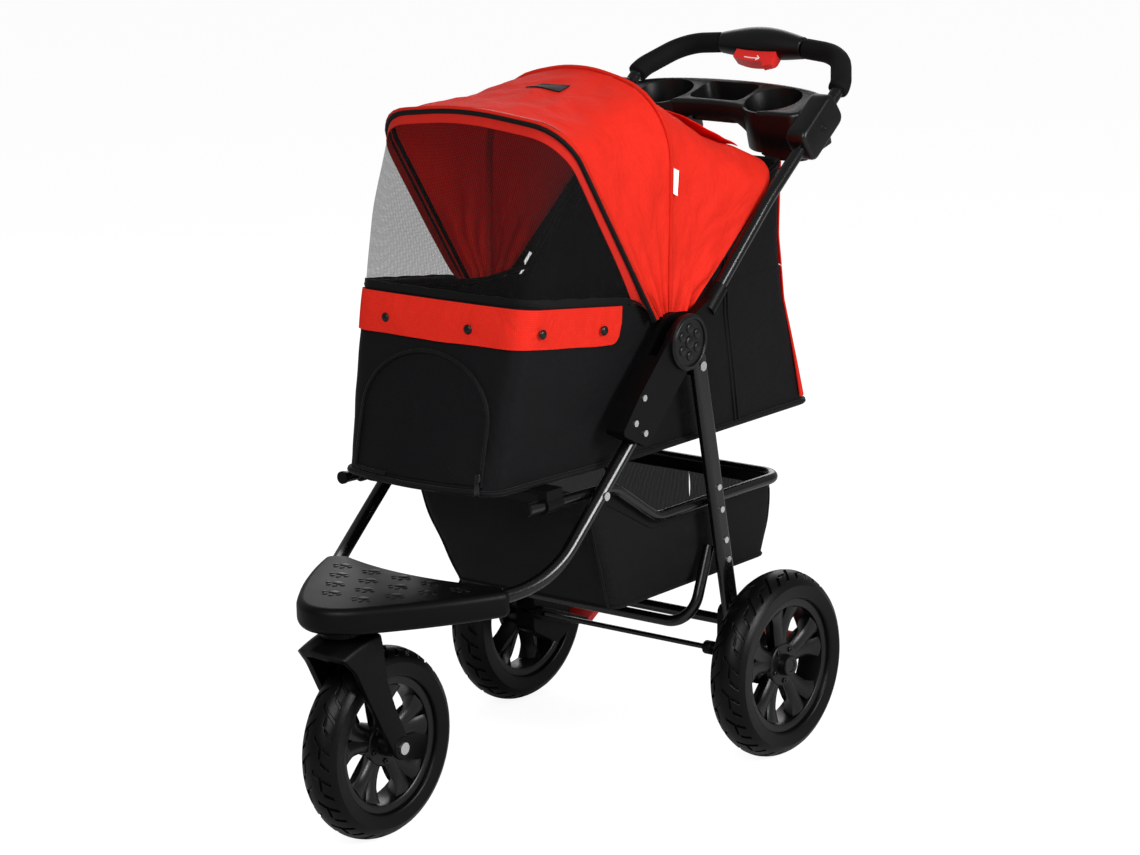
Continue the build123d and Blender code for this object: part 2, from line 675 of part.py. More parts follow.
# Hinge brackets: a moulding on the head of the front tube, with two ears round the fold pin
pocket_in = BRACKET_IN + EAR_T
pocket_out = BRACKET_OUT - EAR_T
for side, word in SIDES:
    with BuildPart() as hinge_bracket:
        with BuildSketch(Plane.YZ.offset(side * BRACKET_IN)) as outline:
            Polygon(*BRACKET_OUTLINE, align=None)
            fillet(outline.vertices(), radius=BRACKET_ROUND)
            with Locations(HINGE):
                Circle(EAR_R)
        extrude(amount=side * (BRACKET_OUT - BRACKET_IN))
        add(pin(side, HINGE, pocket_in, pocket_out, POCKET_R), mode=Mode.SUBTRACT)
        with BuildSketch(Plane.YZ.offset(side * BRACKET_IN)) as leg_ear:
            with BuildLine():
                CenterArc(HINGE, EAR_R, 0, 360)
                CenterArc(LEG_PIVOT, LEG_W / 2, 0, 360)
            make_hull()
        extrude(amount=side * EAR_T)
        add(front_envelope, mode=Mode.SUBTRACT)
        add(pin(side, HINGE, BRACKET_IN, BRACKET_OUT, HINGE_PIN_R + RUN), mode=Mode.SUBTRACT)
        add(pin(side, LEG_PIVOT, BRACKET_IN, BRACKET_OUT, LEG_PIN_R + RUN), mode=Mode.SUBTRACT)
        add(screw_holes(side, BRACKET_SCREWS, BRACKET_OUT), mode=Mode.SUBTRACT)
    hinge_bracket.part.label = f"hinge_bracket_{word}"
    export_step(hinge_bracket.part, f"parts/hinge_bracket_{word}.step")

# Round covers over the fold pins
with BuildPart() as hinge_discs:
    for side, _ in SIDES:
        add(pin(side, HINGE, BRACKET_OUT, BRACKET_OUT + DISC_T, DISC_R))
        disc_face = hinge_discs.faces().sort_by(Axis.X)[-1 if side > 0 else 0]
        chamfer(disc_face.edges(), length=DISC_DISH)
        disc_face = BRACKET_OUT + DISC_T
        dish = pin(side, HINGE, disc_face - DISC_DISH, disc_face, DISC_R - 3 * DISC_DISH)
        add(dish, mode=Mode.SUBTRACT)
hinge_discs.part.label = "hinge_discs"
export_step(hinge_discs.part, "parts/hinge_discs.step")

with BuildPart() as bracket_screws:
    add(screws(BRACKET_SCREWS, BRACKET_OUT))
bracket_screws.part.label = "bracket_screws"
export_step(bracket_screws.part, "parts/bracket_screws.step")

with BuildPart() as hinge_pins:
    for side, _ in SIDES:
        add(pin(side, HINGE, TUB_HALF + CLOTH_GAP, BRACKET_OUT, HINGE_PIN_R))
hinge_pins.part.label = "hinge_pins"
export_step(hinge_pins.part, "parts/hinge_pins.step")

# Rear legs: flat-oval tubes, each hung on a headed pin
leg_in = pocket_in + KNUCKLE_PLAY
leg_out = leg_in + LEG_T
leg_mid = (leg_in + leg_out) / 2
leg_len = hypot(LEG_FOOT[0] - LEG_PIVOT[0], LEG_FOOT[1] - LEG_PIVOT[1])
leg_dir = ((LEG_FOOT[0] - LEG_PIVOT[0]) / leg_len, (LEG_FOOT[1] - LEG_PIVOT[1]) / leg_len)


def on_leg(height):
    """The side-view place on a leg's centre line at a height."""
    return along(LEG_PIVOT, LEG_FOOT, (height - LEG_PIVOT[1]) / (LEG_FOOT[1] - LEG_PIVOT[1]))


def leg_section(side, start):
    """The plane across a leg, at a distance from its pivot."""
    origin = (side * leg_mid, LEG_PIVOT[0] + start * leg_dir[0], LEG_PIVOT[1] + start * leg_dir[1])
    return Plane(origin=origin, x_dir=(0, -leg_dir[1], leg_dir[0]), z_dir=(0, leg_dir[0], leg_dir[1]))


leg_screw_places = [on_leg(height) for height in LEG_SCREW_Z]
for side, word in SIDES:
    with BuildPart() as rear_leg:
        with BuildSketch(leg_section(side, -LEG_TOP)):
            SlotOverall(LEG_W, LEG_T)
            SlotOverall(LEG_W - 2 * TUBE_WALL, LEG_T - 2 * TUBE_WALL, mode=Mode.SUBTRACT)
        extrude(amount=leg_len + LEG_TOP)
        add(pin(side, LEG_PIVOT, BRACKET_IN, BRACKET_OUT, LEG_PIN_R + RUN), mode=Mode.SUBTRACT)
        add(screw_holes(side, leg_screw_places, leg_out), mode=Mode.SUBTRACT)
    rear_leg.part.label = f"rear_leg_{word}"
    export_step(rear_leg.part, f"parts/rear_leg_{word}.step")

with BuildPart() as leg_pins:
    for side, _ in SIDES:
        add(pin(side, LEG_PIVOT, BRACKET_IN, leg_out + SEAT, LEG_PIN_R))
        add(pin(side, LEG_PIVOT, leg_out + SEAT, leg_out + SEAT + SCREW_HEAD_T, LEG_PIN_HEAD_R))
leg_pins.part.label = "leg_pins"
export_step(leg_pins.part, "parts/leg_pins.step")

# Brake housings: mouldings that take the leg's foot and the axle
for side, word in SIDES:
    with BuildPart() as brake_housing:
        with BuildSketch(Plane.YZ.offset(side * HOUSING_IN)) as outline:
            Polygon(*HOUSING_OUTLINE, align=None)
            fillet(outline.vertices(), radius=HOUSING_ROUND)
        extrude(amount=side * (HOUSING_OUT - HOUSING_IN))
        with BuildSketch(leg_section(side, 0)):
            SlotOverall(LEG_W + 2 * SEAT, LEG_T + 2 * SEAT)
        extrude(amount=leg_len, mode=Mode.SUBTRACT)
        add(pin(side, rear_axle, HOUSING_IN, HOUSING_OUT, AXLE_R + RUN), mode=Mode.SUBTRACT)
        add(screw_holes(side, HOUSING_SCREWS, HOUSING_OUT), mode=Mode.SUBTRACT)
        add(pin(side, BRAKE_ROD, HOUSING_IN, HOUSING_OUT, BRAKE_ROD_R + RUN), mode=Mode.SUBTRACT)
    brake_housing.part.label = f"brake_housing_{word}"
    export_step(brake_housing.part, f"parts/brake_housing_{word}.step")

with BuildPart() as rear_screws:
    add(screws(leg_screw_places, leg_out))
    add(screws(HOUSING_SCREWS, HOUSING_OUT))
rear_screws.part.label = "rear_screws"
export_step(rear_screws.part, "parts/rear_screws.step")

# Rear cross members
brace_x = leg_in - CROSS_TUBE_R - SEAT
brace_route = both_sides((in_frame(1, brace_x, BRACE_TOP), in_frame(1, brace_x, BRACE_FOOT)))
with BuildPart() as rear_brace:
    add(tube(brace_route, (BRACE_BEND, BRACE_BEND), CROSS_TUBE_R, CROSS_TUBE_R - TUBE_WALL))
rear_brace.part.label = "rear_brace"
export_step(rear_brace.part, "parts/rear_brace.step")

with BuildPart() as axle_beam:
    beam_ends = (in_frame(1, HOUSING_IN, BEAM), in_frame(-1, HOUSING_IN, BEAM))
    add(tube(beam_ends, (), CROSS_TUBE_R, CROSS_TUBE_R - TUBE_WALL))
axle_beam.part.label = "axle_beam"
export_step(axle_beam.part, "parts/axle_beam.step")

# Parking brake: two pedals on one turning rod
with BuildPart() as brake_rod:
    rod_end = HOUSING_IN + EAR_T
    add(pin(1, BRAKE_ROD, -rod_end, rod_end, BRAKE_ROD_R))
brake_rod.part.label = "brake_rod"
export_step(brake_rod.part, "parts/brake_rod.step")

for side, word in SIDES:
    with BuildPart() as brake_pedal:
        with BuildSketch(Plane.YZ.offset(side * PEDAL_IN)):
            with BuildLine():
                CenterArc(BRAKE_ROD, PEDAL_BOSS_R, 0, 360)
                CenterArc(PEDAL_HEEL, PEDAL_T / 2, 0, 360)
            make_hull()
        extrude(amount=side * (PEDAL_OUT - PEDAL_IN))
        with BuildSketch(Plane.YZ.offset(side * PEDAL_IN)):
            with BuildLine():
                CenterArc(PEDAL_HEEL, PEDAL_T / 2, 0, 360)
                CenterArc(PEDAL_TIP, PEDAL_T / 2, 0, 360)
            make_hull()
        extrude(amount=side * (PEDAL_PAD_OUT - PEDAL_IN))
        add(pin(side, BRAKE_ROD, PEDAL_IN, PEDAL_OUT, BRAKE_ROD_R + RUN), mode=Mode.SUBTRACT)
    brake_pedal.part.label = f"brake_pedal_{word}"
    export_step(brake_pedal.part, f"parts/brake_pedal_{word}.step")

# Handle tube: one bent tube from the left knuckle over the bar to the right knuckle
handle_half = (
    in_frame(1, HANDLE_X, SOCKET),
    in_frame(1, HANDLE_X, HANDLE_KINK),
    in_frame(1, HANDLE_X, HANDLE_TOP),
    HANDLE_CORNER,
    (0, HANDLE_BAR[0], HANDLE_BAR[1]),
)
handle_route = both_sides(handle_half)
handle_bends = HANDLE_BENDS[:3] + HANDLE_BENDS[3:] + HANDLE_BENDS[2::-1]
handle_envelope = tube(handle_route, handle_bends, HANDLE_TUBE_R + SEAT)
with BuildPart() as handle_tube:
    add(tube(handle_route, handle_bends, HANDLE_TUBE_R, HANDLE_TUBE_R - TUBE_WALL))
handle_tube.part.label = "handle_tube"
export_step(handle_tube.part, "parts/handle_tube.step")

# Knuckles that turn on the hinge pins, each with a socket for the handle tube
knuckle_in = pocket_in + KNUCKLE_PLAY
knuckle_out = pocket_out - KNUCKLE_PLAY
socket_dir = degrees(atan2(HANDLE_KINK[1] - SOCKET[1], HANDLE_KINK[0] - SOCKET[0]))
for side, word in SIDES:
    with BuildPart() as handle_knuckle:
        with BuildSketch(Plane.YZ.offset(side * knuckle_in)):
            with BuildLine():
                CenterArc(HINGE, KNUCKLE_R, 0, 360)
                CenterArc(SOCKET, SOCKET_R, 0, 360)
            make_hull()
        extrude(amount=side * (knuckle_out - knuckle_in))
        socket_axis = (0, cos(radians(socket_dir)), sin(radians(socket_dir)))
        with BuildSketch(Plane(origin=in_frame(side, HANDLE_X, SOCKET), z_dir=socket_axis)):
            Circle(SOCKET_R)
        extrude(amount=SOCKET_L)
        with BuildSketch(Plane(origin=in_frame(side, HANDLE_X, SOCKET), z_dir=socket_axis)):
            Circle(SOCKET_R)
        extrude(amount=-HANDLE_TUBE_R)
        add(handle_envelope, mode=Mode.SUBTRACT)
        add(pin(side, HINGE, BRACKET_IN, BRACKET_OUT, HINGE_PIN_R + RUN), mode=Mode.SUBTRACT)
    handle_knuckle.part.label = f"handle_knuckle_{word}"
    export_step(handle_knuckle.part, f"parts/handle_knuckle_{word}.step")

# Foam grips and the moulded cover in the middle of the bar
corner_point = HANDLE_CORNER
bar_mid = (0, HANDLE_BAR[0], HANDLE_BAR[1])
cover_end = along(bar_mid, corner_point, COVER_X / corner_point[0])
grip_foot = along(in_frame(1, HANDLE_X, HANDLE_KINK), in_frame(1, HANDLE_X, HANDLE_TOP), GRIP_START)
grip_half = (grip_foot, in_frame(1, HANDLE_X, HANDLE_TOP), corner_point, cover_end)
for side, word in SIDES:
    grip_route = [(side * x, y, z) for x, y, z in grip_half]
    with BuildPart() as grip:
        add(tube(grip_route, HANDLE_BENDS[1:3], GRIP_R, HANDLE_TUBE_R + SEAT))
    grip.part.label = f"grip_{word}"
    export_step(grip.part, f"parts/grip_{word}.step")

trigger_dir = (cos(radians(TRIGGER_ANGLE)), sin(radians(TRIGGER_ANGLE)))
trigger_plane = Plane(
    origin=bar_mid, x_dir=(1, 0, 0), z_dir=(0, trigger_dir[0], trigger_dir[1])
)
trigger_room = TRIGGER_TRAVEL + TRIGGER_CLEAR
trigger_in = HANDLE_TUBE_R + SEAT + trigger_room
with BuildPart() as handle_cover:
    with BuildLine() as cover_path:
        other_end = (-cover_end[0], cover_end[1], cover_end[2])
        FilletPolyline(cover_end, bar_mid, other_end, radius=HANDLE_BENDS[3])
    with BuildSketch(Plane(origin=cover_path.line @ 0, z_dir=cover_path.line % 0)):
        Circle(COVER_R)
    sweep(path=cover_path.line)
    cover_ends = handle_cover.faces().filter_by(GeomType.PLANE)
    fillet(cover_ends.edges(), radius=COVER_ROUND)
    add(handle_envelope, mode=Mode.SUBTRACT)
    with BuildSketch(trigger_plane.offset(HANDLE_TUBE_R + SEAT)):
        Rectangle(TRIGGER_W + 2 * TRIGGER_PLAY, TRIGGER_T + 2 * TRIGGER_PLAY)
    extrude(amount=COVER_R, mode=Mode.SUBTRACT)
handle_cover.part.label = "handle_cover"
export_step(handle_cover.part, "parts/handle_cover.step")

with BuildPart() as fold_trigger:
    with BuildSketch(trigger_plane.offset(trigger_in)):
        Rectangle(TRIGGER_W, TRIGGER_T)
    extrude(amount=TRIGGER_OUT - trigger_in)
    fillet(fold_trigger.edges().filter_by(Axis.X), radius=TRIGGER_T / 4)
fold_trigger.part.label = "fold_trigger"
export_step(fold_trigger.part, "parts/fold_trigger.step")

with BuildPart() as trigger_springs:
    with BuildSketch(trigger_plane.offset(HANDLE_TUBE_R + SEAT)):
        with Locations((SPRING_X, 0), (-SPRING_X, 0)):
            Circle(SPRING_R)
            Circle(SPRING_R - 1, mode=Mode.SUBTRACT)
    extrude(amount=trigger_room - SEAT)
    add(handle_envelope, mode=Mode.SUBTRACT)
trigger_springs.part.label = "trigger_springs"
export_step(trigger_springs.part, "parts/trigger_springs.step")

# Cup tray: a tilted moulding with two cups and a bin between them
tray_plane = Plane(
    origin=(0, TRAY_CENTRE[0], TRAY_CENTRE[1]),
    x_dir=(1, 0, 0),
    z_dir=(0, -sin(radians(TRAY_TILT)), cos(radians(TRAY_TILT))),
)


def tray_outline(depth, inset):
    """Plan outline of the tray in its own tilted plane."""
    with BuildSketch(tray_plane.offset(-depth)) as outline:
        end = TRAY_END_X
        with BuildLine():
            ThreePointArc((end, TRAY_END_BACK), (0, TRAY_BACK), (-end, TRAY_END_BACK))
            Line((-end, TRAY_END_BACK), (-end, TRAY_END_FRONT))
            Line((-end, TRAY_END_FRONT), (-CUP_X, -CUP_R - 2 * TRAY_WALL))
            cup_front = -CUP_R - 2 * TRAY_WALL
            ThreePointArc((-CUP_X, cup_front), (0, TRAY_WAIST), (CUP_X, cup_front))
            Line((CUP_X, -CUP_R - 2 * TRAY_WALL), (end, TRAY_END_FRONT))
            Line((end, TRAY_END_FRONT), (end, TRAY_END_BACK))
        make_face()
        if inset:
            offset(amount=-inset, kind=Kind.INTERSECTION, mode=Mode.REPLACE)
    return outline.sketch


with BuildPart() as tray:
    add(tray_outline(TRAY_DEPTH, 0))
    extrude(amount=TRAY_DEPTH)
    add(tray_outline(TRAY_DEPTH, TRAY_WALL))
    extrude(amount=TRAY_DEPTH - TRAY_WALL, mode=Mode.SUBTRACT)
    with BuildSketch(tray_plane.offset(-CUP_DEPTH - TRAY_WALL)):
        with Locations((CUP_X, 0), (-CUP_X, 0)):
            Circle(CUP_R + CUP_WALL)
    extrude(amount=CUP_DEPTH + TRAY_WALL)
    bin_mid = (0, (BIN_FRONT + BIN_BACK) / 2)
    with BuildSketch(tray_plane.offset(-BIN_DEPTH - TRAY_WALL)):
        with Locations(bin_mid):
            Rectangle(2 * (BIN_X + TRAY_WALL), BIN_BACK - BIN_FRONT + 2 * TRAY_WALL)
    extrude(amount=BIN_DEPTH + TRAY_WALL)
    with BuildSketch(tray_plane.offset(-CUP_DEPTH)):
        with Locations((CUP_X, 0), (-CUP_X, 0)):
            Circle(CUP_R)
    extrude(amount=CUP_DEPTH, mode=Mode.SUBTRACT)
    with BuildSketch(tray_plane.offset(-BIN_DEPTH)):
        with Locations(bin_mid):
            RectangleRounded(2 * BIN_X, BIN_BACK - BIN_FRONT, 4 * TRAY_WALL)
    extrude(amount=BIN_DEPTH, mode=Mode.SUBTRACT)
tray.part.label = "tray"
export_step(tray.part, "parts/tray.step")

# Clamps that hold the tray on the handle tube
side_dir = degrees(atan2(HANDLE_TOP[1] - HANDLE_KINK[1], HANDLE_TOP[0] - HANDLE_KINK[0]))
clamp_mid = along(HANDLE_KINK, HANDLE_TOP, CLAMP_AT)
with BuildPart() as tray_clamps:
    clamp_x = TRAY_END_X + SEAT
    for side, _ in SIDES:
        clamp_plane = Plane(
            origin=in_frame(side, clamp_x, clamp_mid),
            x_dir=(0, cos(radians(side_dir)), sin(radians(side_dir))),
            z_dir=(side, 0, 0),
        )
        with BuildSketch(clamp_plane):
            RectangleRounded(CLAMP_L, CLAMP_W, CLAMP_ROUND)
        extrude(amount=CLAMP_OUT - clamp_x)
        outer = tray_clamps.faces().sort_by(Axis.X)[-1 if side > 0 else 0]
        fillet(outer.edges(), radius=CLAMP_ROUND - 1)
    add(handle_envelope, mode=Mode.SUBTRACT)
tray_clamps.part.label = "tray_clamps"
export_step(tray_clamps.part, "parts/tray_clamps.step")


# Canopy hoops
def hoop_route(plane, half, side_h, top_h):
    """An arch's corner points, from the left foot over the top to the right foot."""
    flat = ((half, HOOP_EYE_R), (half, side_h), (0, top_h), (-half, side_h), (-half, HOOP_EYE_R))
    return [tuple(plane.from_local_coords(Vector(x, y, 0))) for x, y in flat]


def build_hoop(angle, half, side_h, top_h, bends):
    """A bent wire with an eye at each foot, round the hinge pin."""
    with BuildPart() as hoop:
        route = hoop_route(arch_plane(HINGE, angle), half, side_h, top_h)
        add(tube(route, bends, HOOP_WIRE_R))
        for side, _ in SIDES:
            add(pin(side, HINGE, half - HOOP_WIRE_R, half + HOOP_WIRE_R, HOOP_EYE_R + HOOP_WIRE_R))
        for side, _ in SIDES:
            bore = pin(side, HINGE, half - 2 * HOOP_WIRE_R, half + 2 * HOOP_WIRE_R, HINGE_PIN_R + RUN)
            add(bore, mode=Mode.SUBTRACT)
    return hoop.part


with BuildPart() as front_hoop:
    add(build_hoop(FRONT_HOOP_ANGLE, FRONT_HOOP_X, FRONT_HOOP_SIDE, FRONT_HOOP_TOP, FRONT_HOOP_BENDS))
front_hoop.part.label = "front_hoop"
export_step(front_hoop.part, "parts/front_hoop.step")
with BuildPart() as mid_hoop:
    add(build_hoop(MID_HOOP_ANGLE, MID_HOOP_X, MID_HOOP_SIDE, MID_HOOP_TOP, MID_HOOP_BENDS))
mid_hoop.part.label = "mid_hoop"
export_step(mid_hoop.part, "parts/mid_hoop.step")

# Canopy cloth: a front panel and a rear panel that meet over the middle hoop, and a mesh front window
over_wire = HOOP_WIRE_R + 1.5 * CLOTH_GAP
front_edge = (FRONT_HOOP_X + over_wire, FRONT_HOOP_SIDE + over_wire, FRONT_HOOP_TOP + over_wire)
mid_edge = (MID_HOOP_X + over_wire, MID_HOOP_SIDE + over_wire, MID_HOOP_TOP + over_wire)
seam = degrees(HOOP_WIRE_R / MID_HOOP_TOP)
with BuildPart() as canopy_front:
    add(arch_band(arch_plane(HINGE, MID_HOOP_ANGLE), CANOPY_FOOT, *mid_edge, MID_HOOP_BENDS, CLOTH_T))
    add(arch_band(arch_plane(HINGE, FRONT_HOOP_ANGLE), CANOPY_FOOT, *front_edge, FRONT_HOOP_BENDS, CLOTH_T))
    loft(ruled=True)
canopy_front.part.label = "canopy_front"
export_step(canopy_front.part, "parts/canopy_front.step")

tube_edge = HANDLE_X - HANDLE_TUBE_R - CLOTH_GAP - CLOTH_T
with BuildPart() as canopy_rear:
    rear_plane = arch_plane(HINGE, REAR_EDGE_ANGLE)
    rear_edge = (tube_edge, REAR_EDGE_SIDE, REAR_EDGE_TOP)
    add(arch_band(rear_plane, CANOPY_FOOT + SOCKET_L, *rear_edge, REAR_EDGE_BENDS, CLOTH_T))
    mid_plane = arch_plane(HINGE, MID_HOOP_ANGLE - seam / 4)
    add(arch_band(mid_plane, CANOPY_FOOT, *mid_edge, MID_HOOP_BENDS, CLOTH_T))
    loft(ruled=True)
canopy_rear.part.label = "canopy_rear"
export_step(canopy_rear.part, "parts/canopy_rear.step")

rim_slope = degrees(atan2(RIM_FRONT[1] - RIM_BACK[1], RIM_FRONT[0] - RIM_BACK[0]))
rim_reach = hypot(RIM_FRONT[1] - RIM_BACK[1], RIM_FRONT[0] - RIM_BACK[0])
with BuildPart() as mesh_window:
    hoop_plane = arch_plane(HINGE, FRONT_HOOP_ANGLE).offset(over_wire)
    add(arch_band(hoop_plane, CANOPY_FOOT, *front_edge, FRONT_HOOP_BENDS, CLOTH_T))
    rim_plane = arch_plane(RIM_BACK, rim_slope)
    add(arch_band(rim_plane, 0.0, WINDOW_FOOT_X, rim_reach - 1, rim_reach, WINDOW_BENDS, CLOTH_T))
    loft(ruled=True)
mesh_window.part.label = "mesh_window"
export_step(mesh_window.part, "parts/mesh_window.step")


# Tub: a cloth box, higher at the back, with an arched door in front
def tub_body(inset, foot_lift):
    """The tub's filled form, drawn in from its outside."""
    with BuildPart() as body:
        for level, (height, front_y, front_half, rear_y, bulge) in enumerate(TUB_LEVELS):
            lift = foot_lift if level == 0 else 0
            with BuildSketch(Plane.XY.offset(height + lift)) as section:
                half = TUB_HALF - inset
                corner = (front_half - inset, front_y + inset)
                with BuildLine():
                    Polyline(
                        corner,
                        (half, TUB_WIDEST_Y),
                        (half, rear_y - inset),
                        (-half, rear_y - inset),
                        (-half, TUB_WIDEST_Y),
                        (-corner[0], corner[1]),
                    )
                    ThreePointArc((-corner[0], corner[1]), (0, corner[1] - bulge), corner)
                make_face()
                fillet(section.vertices(), radius=TUB_ROUND - inset)
        loft(ruled=True)
    return body.part


def door_arch(gap):
    """A prism through the front wall, in the shape of the arched door."""
    with BuildPart() as arch:
        with BuildSketch(Plane.XZ.offset(-TUB_WIDEST_Y)):
            half = DOOR_HALF - gap
            with BuildLine():
                foot_z = DOOR_FOOT_Z + gap
                Polyline((-half, DOOR_SPRING_Z), (-half, foot_z), (half, foot_z), (half, DOOR_SPRING_Z))
                ThreePointArc((half, DOOR_SPRING_Z), (0, DOOR_TOP_Z - gap), (-half, DOOR_SPRING_Z))
            make_face()
        extrude(amount=-2 * FRONT_AXLE_Y)
    return arch.part


tub_outside = tub_body(0, 0)
tub_inside = tub_body(TUB_WALL, TUB_WALL)
with BuildPart() as tub:
    add(tub_outside)
    add(tub_inside, mode=Mode.SUBTRACT)
    with BuildSketch(Plane.YZ.offset(-TUB_HALF - TUB_ROUND)):
        far = 2 * FRONT_AXLE_Y
        Polygon(
            (far, RIM_FRONT[1] - CLOTH_GAP),
            (RIM_FRONT[0], RIM_FRONT[1] - CLOTH_GAP),
            (RIM_BACK[0], RIM_BACK[1] - CLOTH_GAP),
            *TUB_HANDLE_LINE,
            (-far, TUB_HANDLE_LINE[-1][1]),
            (-far, 2 * TUB_TOP_Z),
            (far, 2 * TUB_TOP_Z),
            align=None,
        )
    extrude(amount=2 * (TUB_HALF + TUB_ROUND), mode=Mode.SUBTRACT)
    add(door_arch(0), mode=Mode.SUBTRACT)
tub.part.label = "tub"
export_step(tub.part, "parts/tub.step")

with BuildPart() as front_door:
    add(tub_outside)
    add(tub_inside, mode=Mode.SUBTRACT)
    add(door_arch(DOOR_GAP), mode=Mode.INTERSECT)
front_door.part.label = "front_door"
export_step(front_door.part, "parts/front_door.step")

# Floor board, on the tub's floor
board_inset = TUB_WALL + TUB_ROUND / 4
floor_z, floor_front, floor_half, floor_rear, _ = TUB_LEVELS[0]
with BuildPart() as floor_board:
    with BuildSketch(Plane.XY.offset(floor_z + TUB_WALL + CLOTH_GAP)) as board:
        half = TUB_HALF - board_inset
        Polygon(
            (-floor_half + board_inset, floor_front + 2 * board_inset),
            (floor_half - board_inset, floor_front + 2 * board_inset),
            (half, TUB_WIDEST_Y),
            (half, floor_rear - 2 * board_inset),
            (-half, floor_rear - 2 * board_inset),
            (-half, TUB_WIDEST_Y),
            align=None,
        )
        fillet(board.vertices(), radius=TUB_ROUND)
    extrude(amount=BOARD_T)
floor_board.part.label = "floor_board"
export_step(floor_board.part, "parts/floor_board.step")

# Rim wire, sewn inside the front rim of the tub
wire_drop = RIM_WIRE_R + CLOTH_GAP
wire_in = TUB_WALL + RIM_WIRE_R + CLOTH_GAP
wire_front = (RIM_FRONT[0] + wire_in + TREAD_CROWN, RIM_FRONT[1] - 2 * wire_drop)
wire_back = (RIM_BACK[0], RIM_BACK[1] - 2 * wire_drop)
wire_half = TUB_LEVELS[1][2] - wire_in
rim_route = both_sides(
    (
        (TUB_HALF - wire_in, wire_back[0], wire_back[1]),
        (wire_half, wire_front[0], wire_front[1]),
    )
)
with BuildPart() as rim_wire:
    add(tube(rim_route, (TUB_ROUND, TUB_ROUND), RIM_WIRE_R))
rim_wire.part.label = "rim_wire"
export_step(rim_wire.part, "parts/rim_wire.step")

# Basket frame: one bent tube, pinned to the front tube
basket_route = both_sides(
    tuple(
        in_frame(1, BASKET_TUBE_X, place)
        for place in (BASKET_NOSE, BASKET_KNEE, BASKET_DIP, BASKET_REAR)
    )
)
basket_bends = BASKET_BENDS + BASKET_BENDS[::-1]
with BuildPart() as basket_tube:
    add(tube(basket_route, basket_bends, BASKET_TUBE_R, BASKET_TUBE_R - TUBE_WALL))
    for side, _ in SIDES:
        hole = pin(side, basket_pivot, BASKET_TUBE_X - 2 * BASKET_TUBE_R, FRAME_X, RIVET_R + RUN)
        add(hole, mode=Mode.SUBTRACT)
basket_tube.part.label = "basket_tube"
export_step(basket_tube.part, "parts/basket_tube.step")

with BuildPart() as basket_rivets:
    rivet_in = BASKET_TUBE_X - BASKET_TUBE_R
    rivet_out = FRAME_X + FRONT_TUBE_R
    for side, _ in SIDES:
        add(pin(side, basket_pivot, rivet_in - RIVET_HEAD_T, rivet_in, RIVET_HEAD_R))
        add(pin(side, basket_pivot, rivet_in, rivet_out, RIVET_R))
        add(pin(side, basket_pivot, rivet_out, rivet_out + RIVET_HEAD_T, RIVET_HEAD_R))
basket_rivets.part.label = "basket_rivets"
export_step(basket_rivets.part, "parts/basket_rivets.step")

nose_dir = (BASKET_NOSE[0] - BASKET_KNEE[0], BASKET_NOSE[1] - BASKET_KNEE[1])
nose_len = hypot(*nose_dir)
with BuildPart() as basket_caps:
    for side, _ in SIDES:
        nose_plane = Plane(
            origin=in_frame(side, BASKET_TUBE_X, BASKET_NOSE),
            z_dir=(0, nose_dir[0] / nose_len, nose_dir[1] / nose_len),
        )
        with BuildSketch(nose_plane):
            Circle(BASKET_TUBE_R + 1)
        extrude(amount=END_CAP_L / 3)
        with BuildSketch(nose_plane):
            Circle(BASKET_TUBE_R - TUBE_WALL - SEAT)
        extrude(amount=-END_CAP_L)
basket_caps.part.label = "basket_caps"
export_step(basket_caps.part, "parts/basket_caps.step")

# Saddles on the basket frame's nose, under the tub's floor
with BuildPart() as tub_saddles:
    saddle_top = TUB_FLOOR_Z - CLOTH_GAP
    saddle_share = (SADDLE_Y - BASKET_NOSE[0]) / (BASKET_KNEE[0] - BASKET_NOSE[0])
    saddle_z = along(BASKET_NOSE, BASKET_KNEE, saddle_share)[1]
    for side, _ in SIDES:
        with BuildSketch(Plane.XZ.offset(-SADDLE_Y - SADDLE_L / 2)):
            with Locations((side * BASKET_TUBE_X, saddle_z)):
                Circle(BASKET_TUBE_R + TRAY_WALL)
            with Locations((side * BASKET_TUBE_X, (saddle_z + saddle_top) / 2)):
                Rectangle(2 * BASKET_TUBE_R, saddle_top - saddle_z)
            arm_x = (BASKET_TUBE_X + SADDLE_REACH) / 2
            with Locations((side * arm_x, saddle_top - TRAY_WALL)):
                Rectangle(BASKET_TUBE_X - SADDLE_REACH, 2 * TRAY_WALL)
        extrude(amount=SADDLE_L)
    add(tube(basket_route, basket_bends, BASKET_TUBE_R + SEAT), mode=Mode.SUBTRACT)
tub_saddles.part.label = "tub_saddles"
export_step(tub_saddles.part, "parts/tub_saddles.step")


# Basket: a hanging cloth box, its top edge under the frame tube
def basket_body(inset, lift):
    """The basket's filled form, drawn in from its outside."""
    mouth_half = BASKET_TUBE_X - BASKET_TUBE_R - CLOTH_GAP
    levels = (
        (BASKET_FLOOR_Z + lift, BASKET_FLOOR, BASKET_FLOOR_HALF),
        (BASKET_MOUTH_Z, (basket_pivot[0] - BASKET_MOUTH_LEAD, BASKET_MOUTH_REAR), mouth_half),
    )
    with BuildPart() as body:
        for height, (front_y, rear_y), half in levels:
            with BuildSketch(Plane.XY.offset(height)):
                with Locations((0, (front_y + rear_y) / 2)):
                    RectangleRounded(2 * (half - inset), rear_y - front_y - 2 * inset, BASKET_ROUND - inset)
        loft(ruled=True)
    return body.part


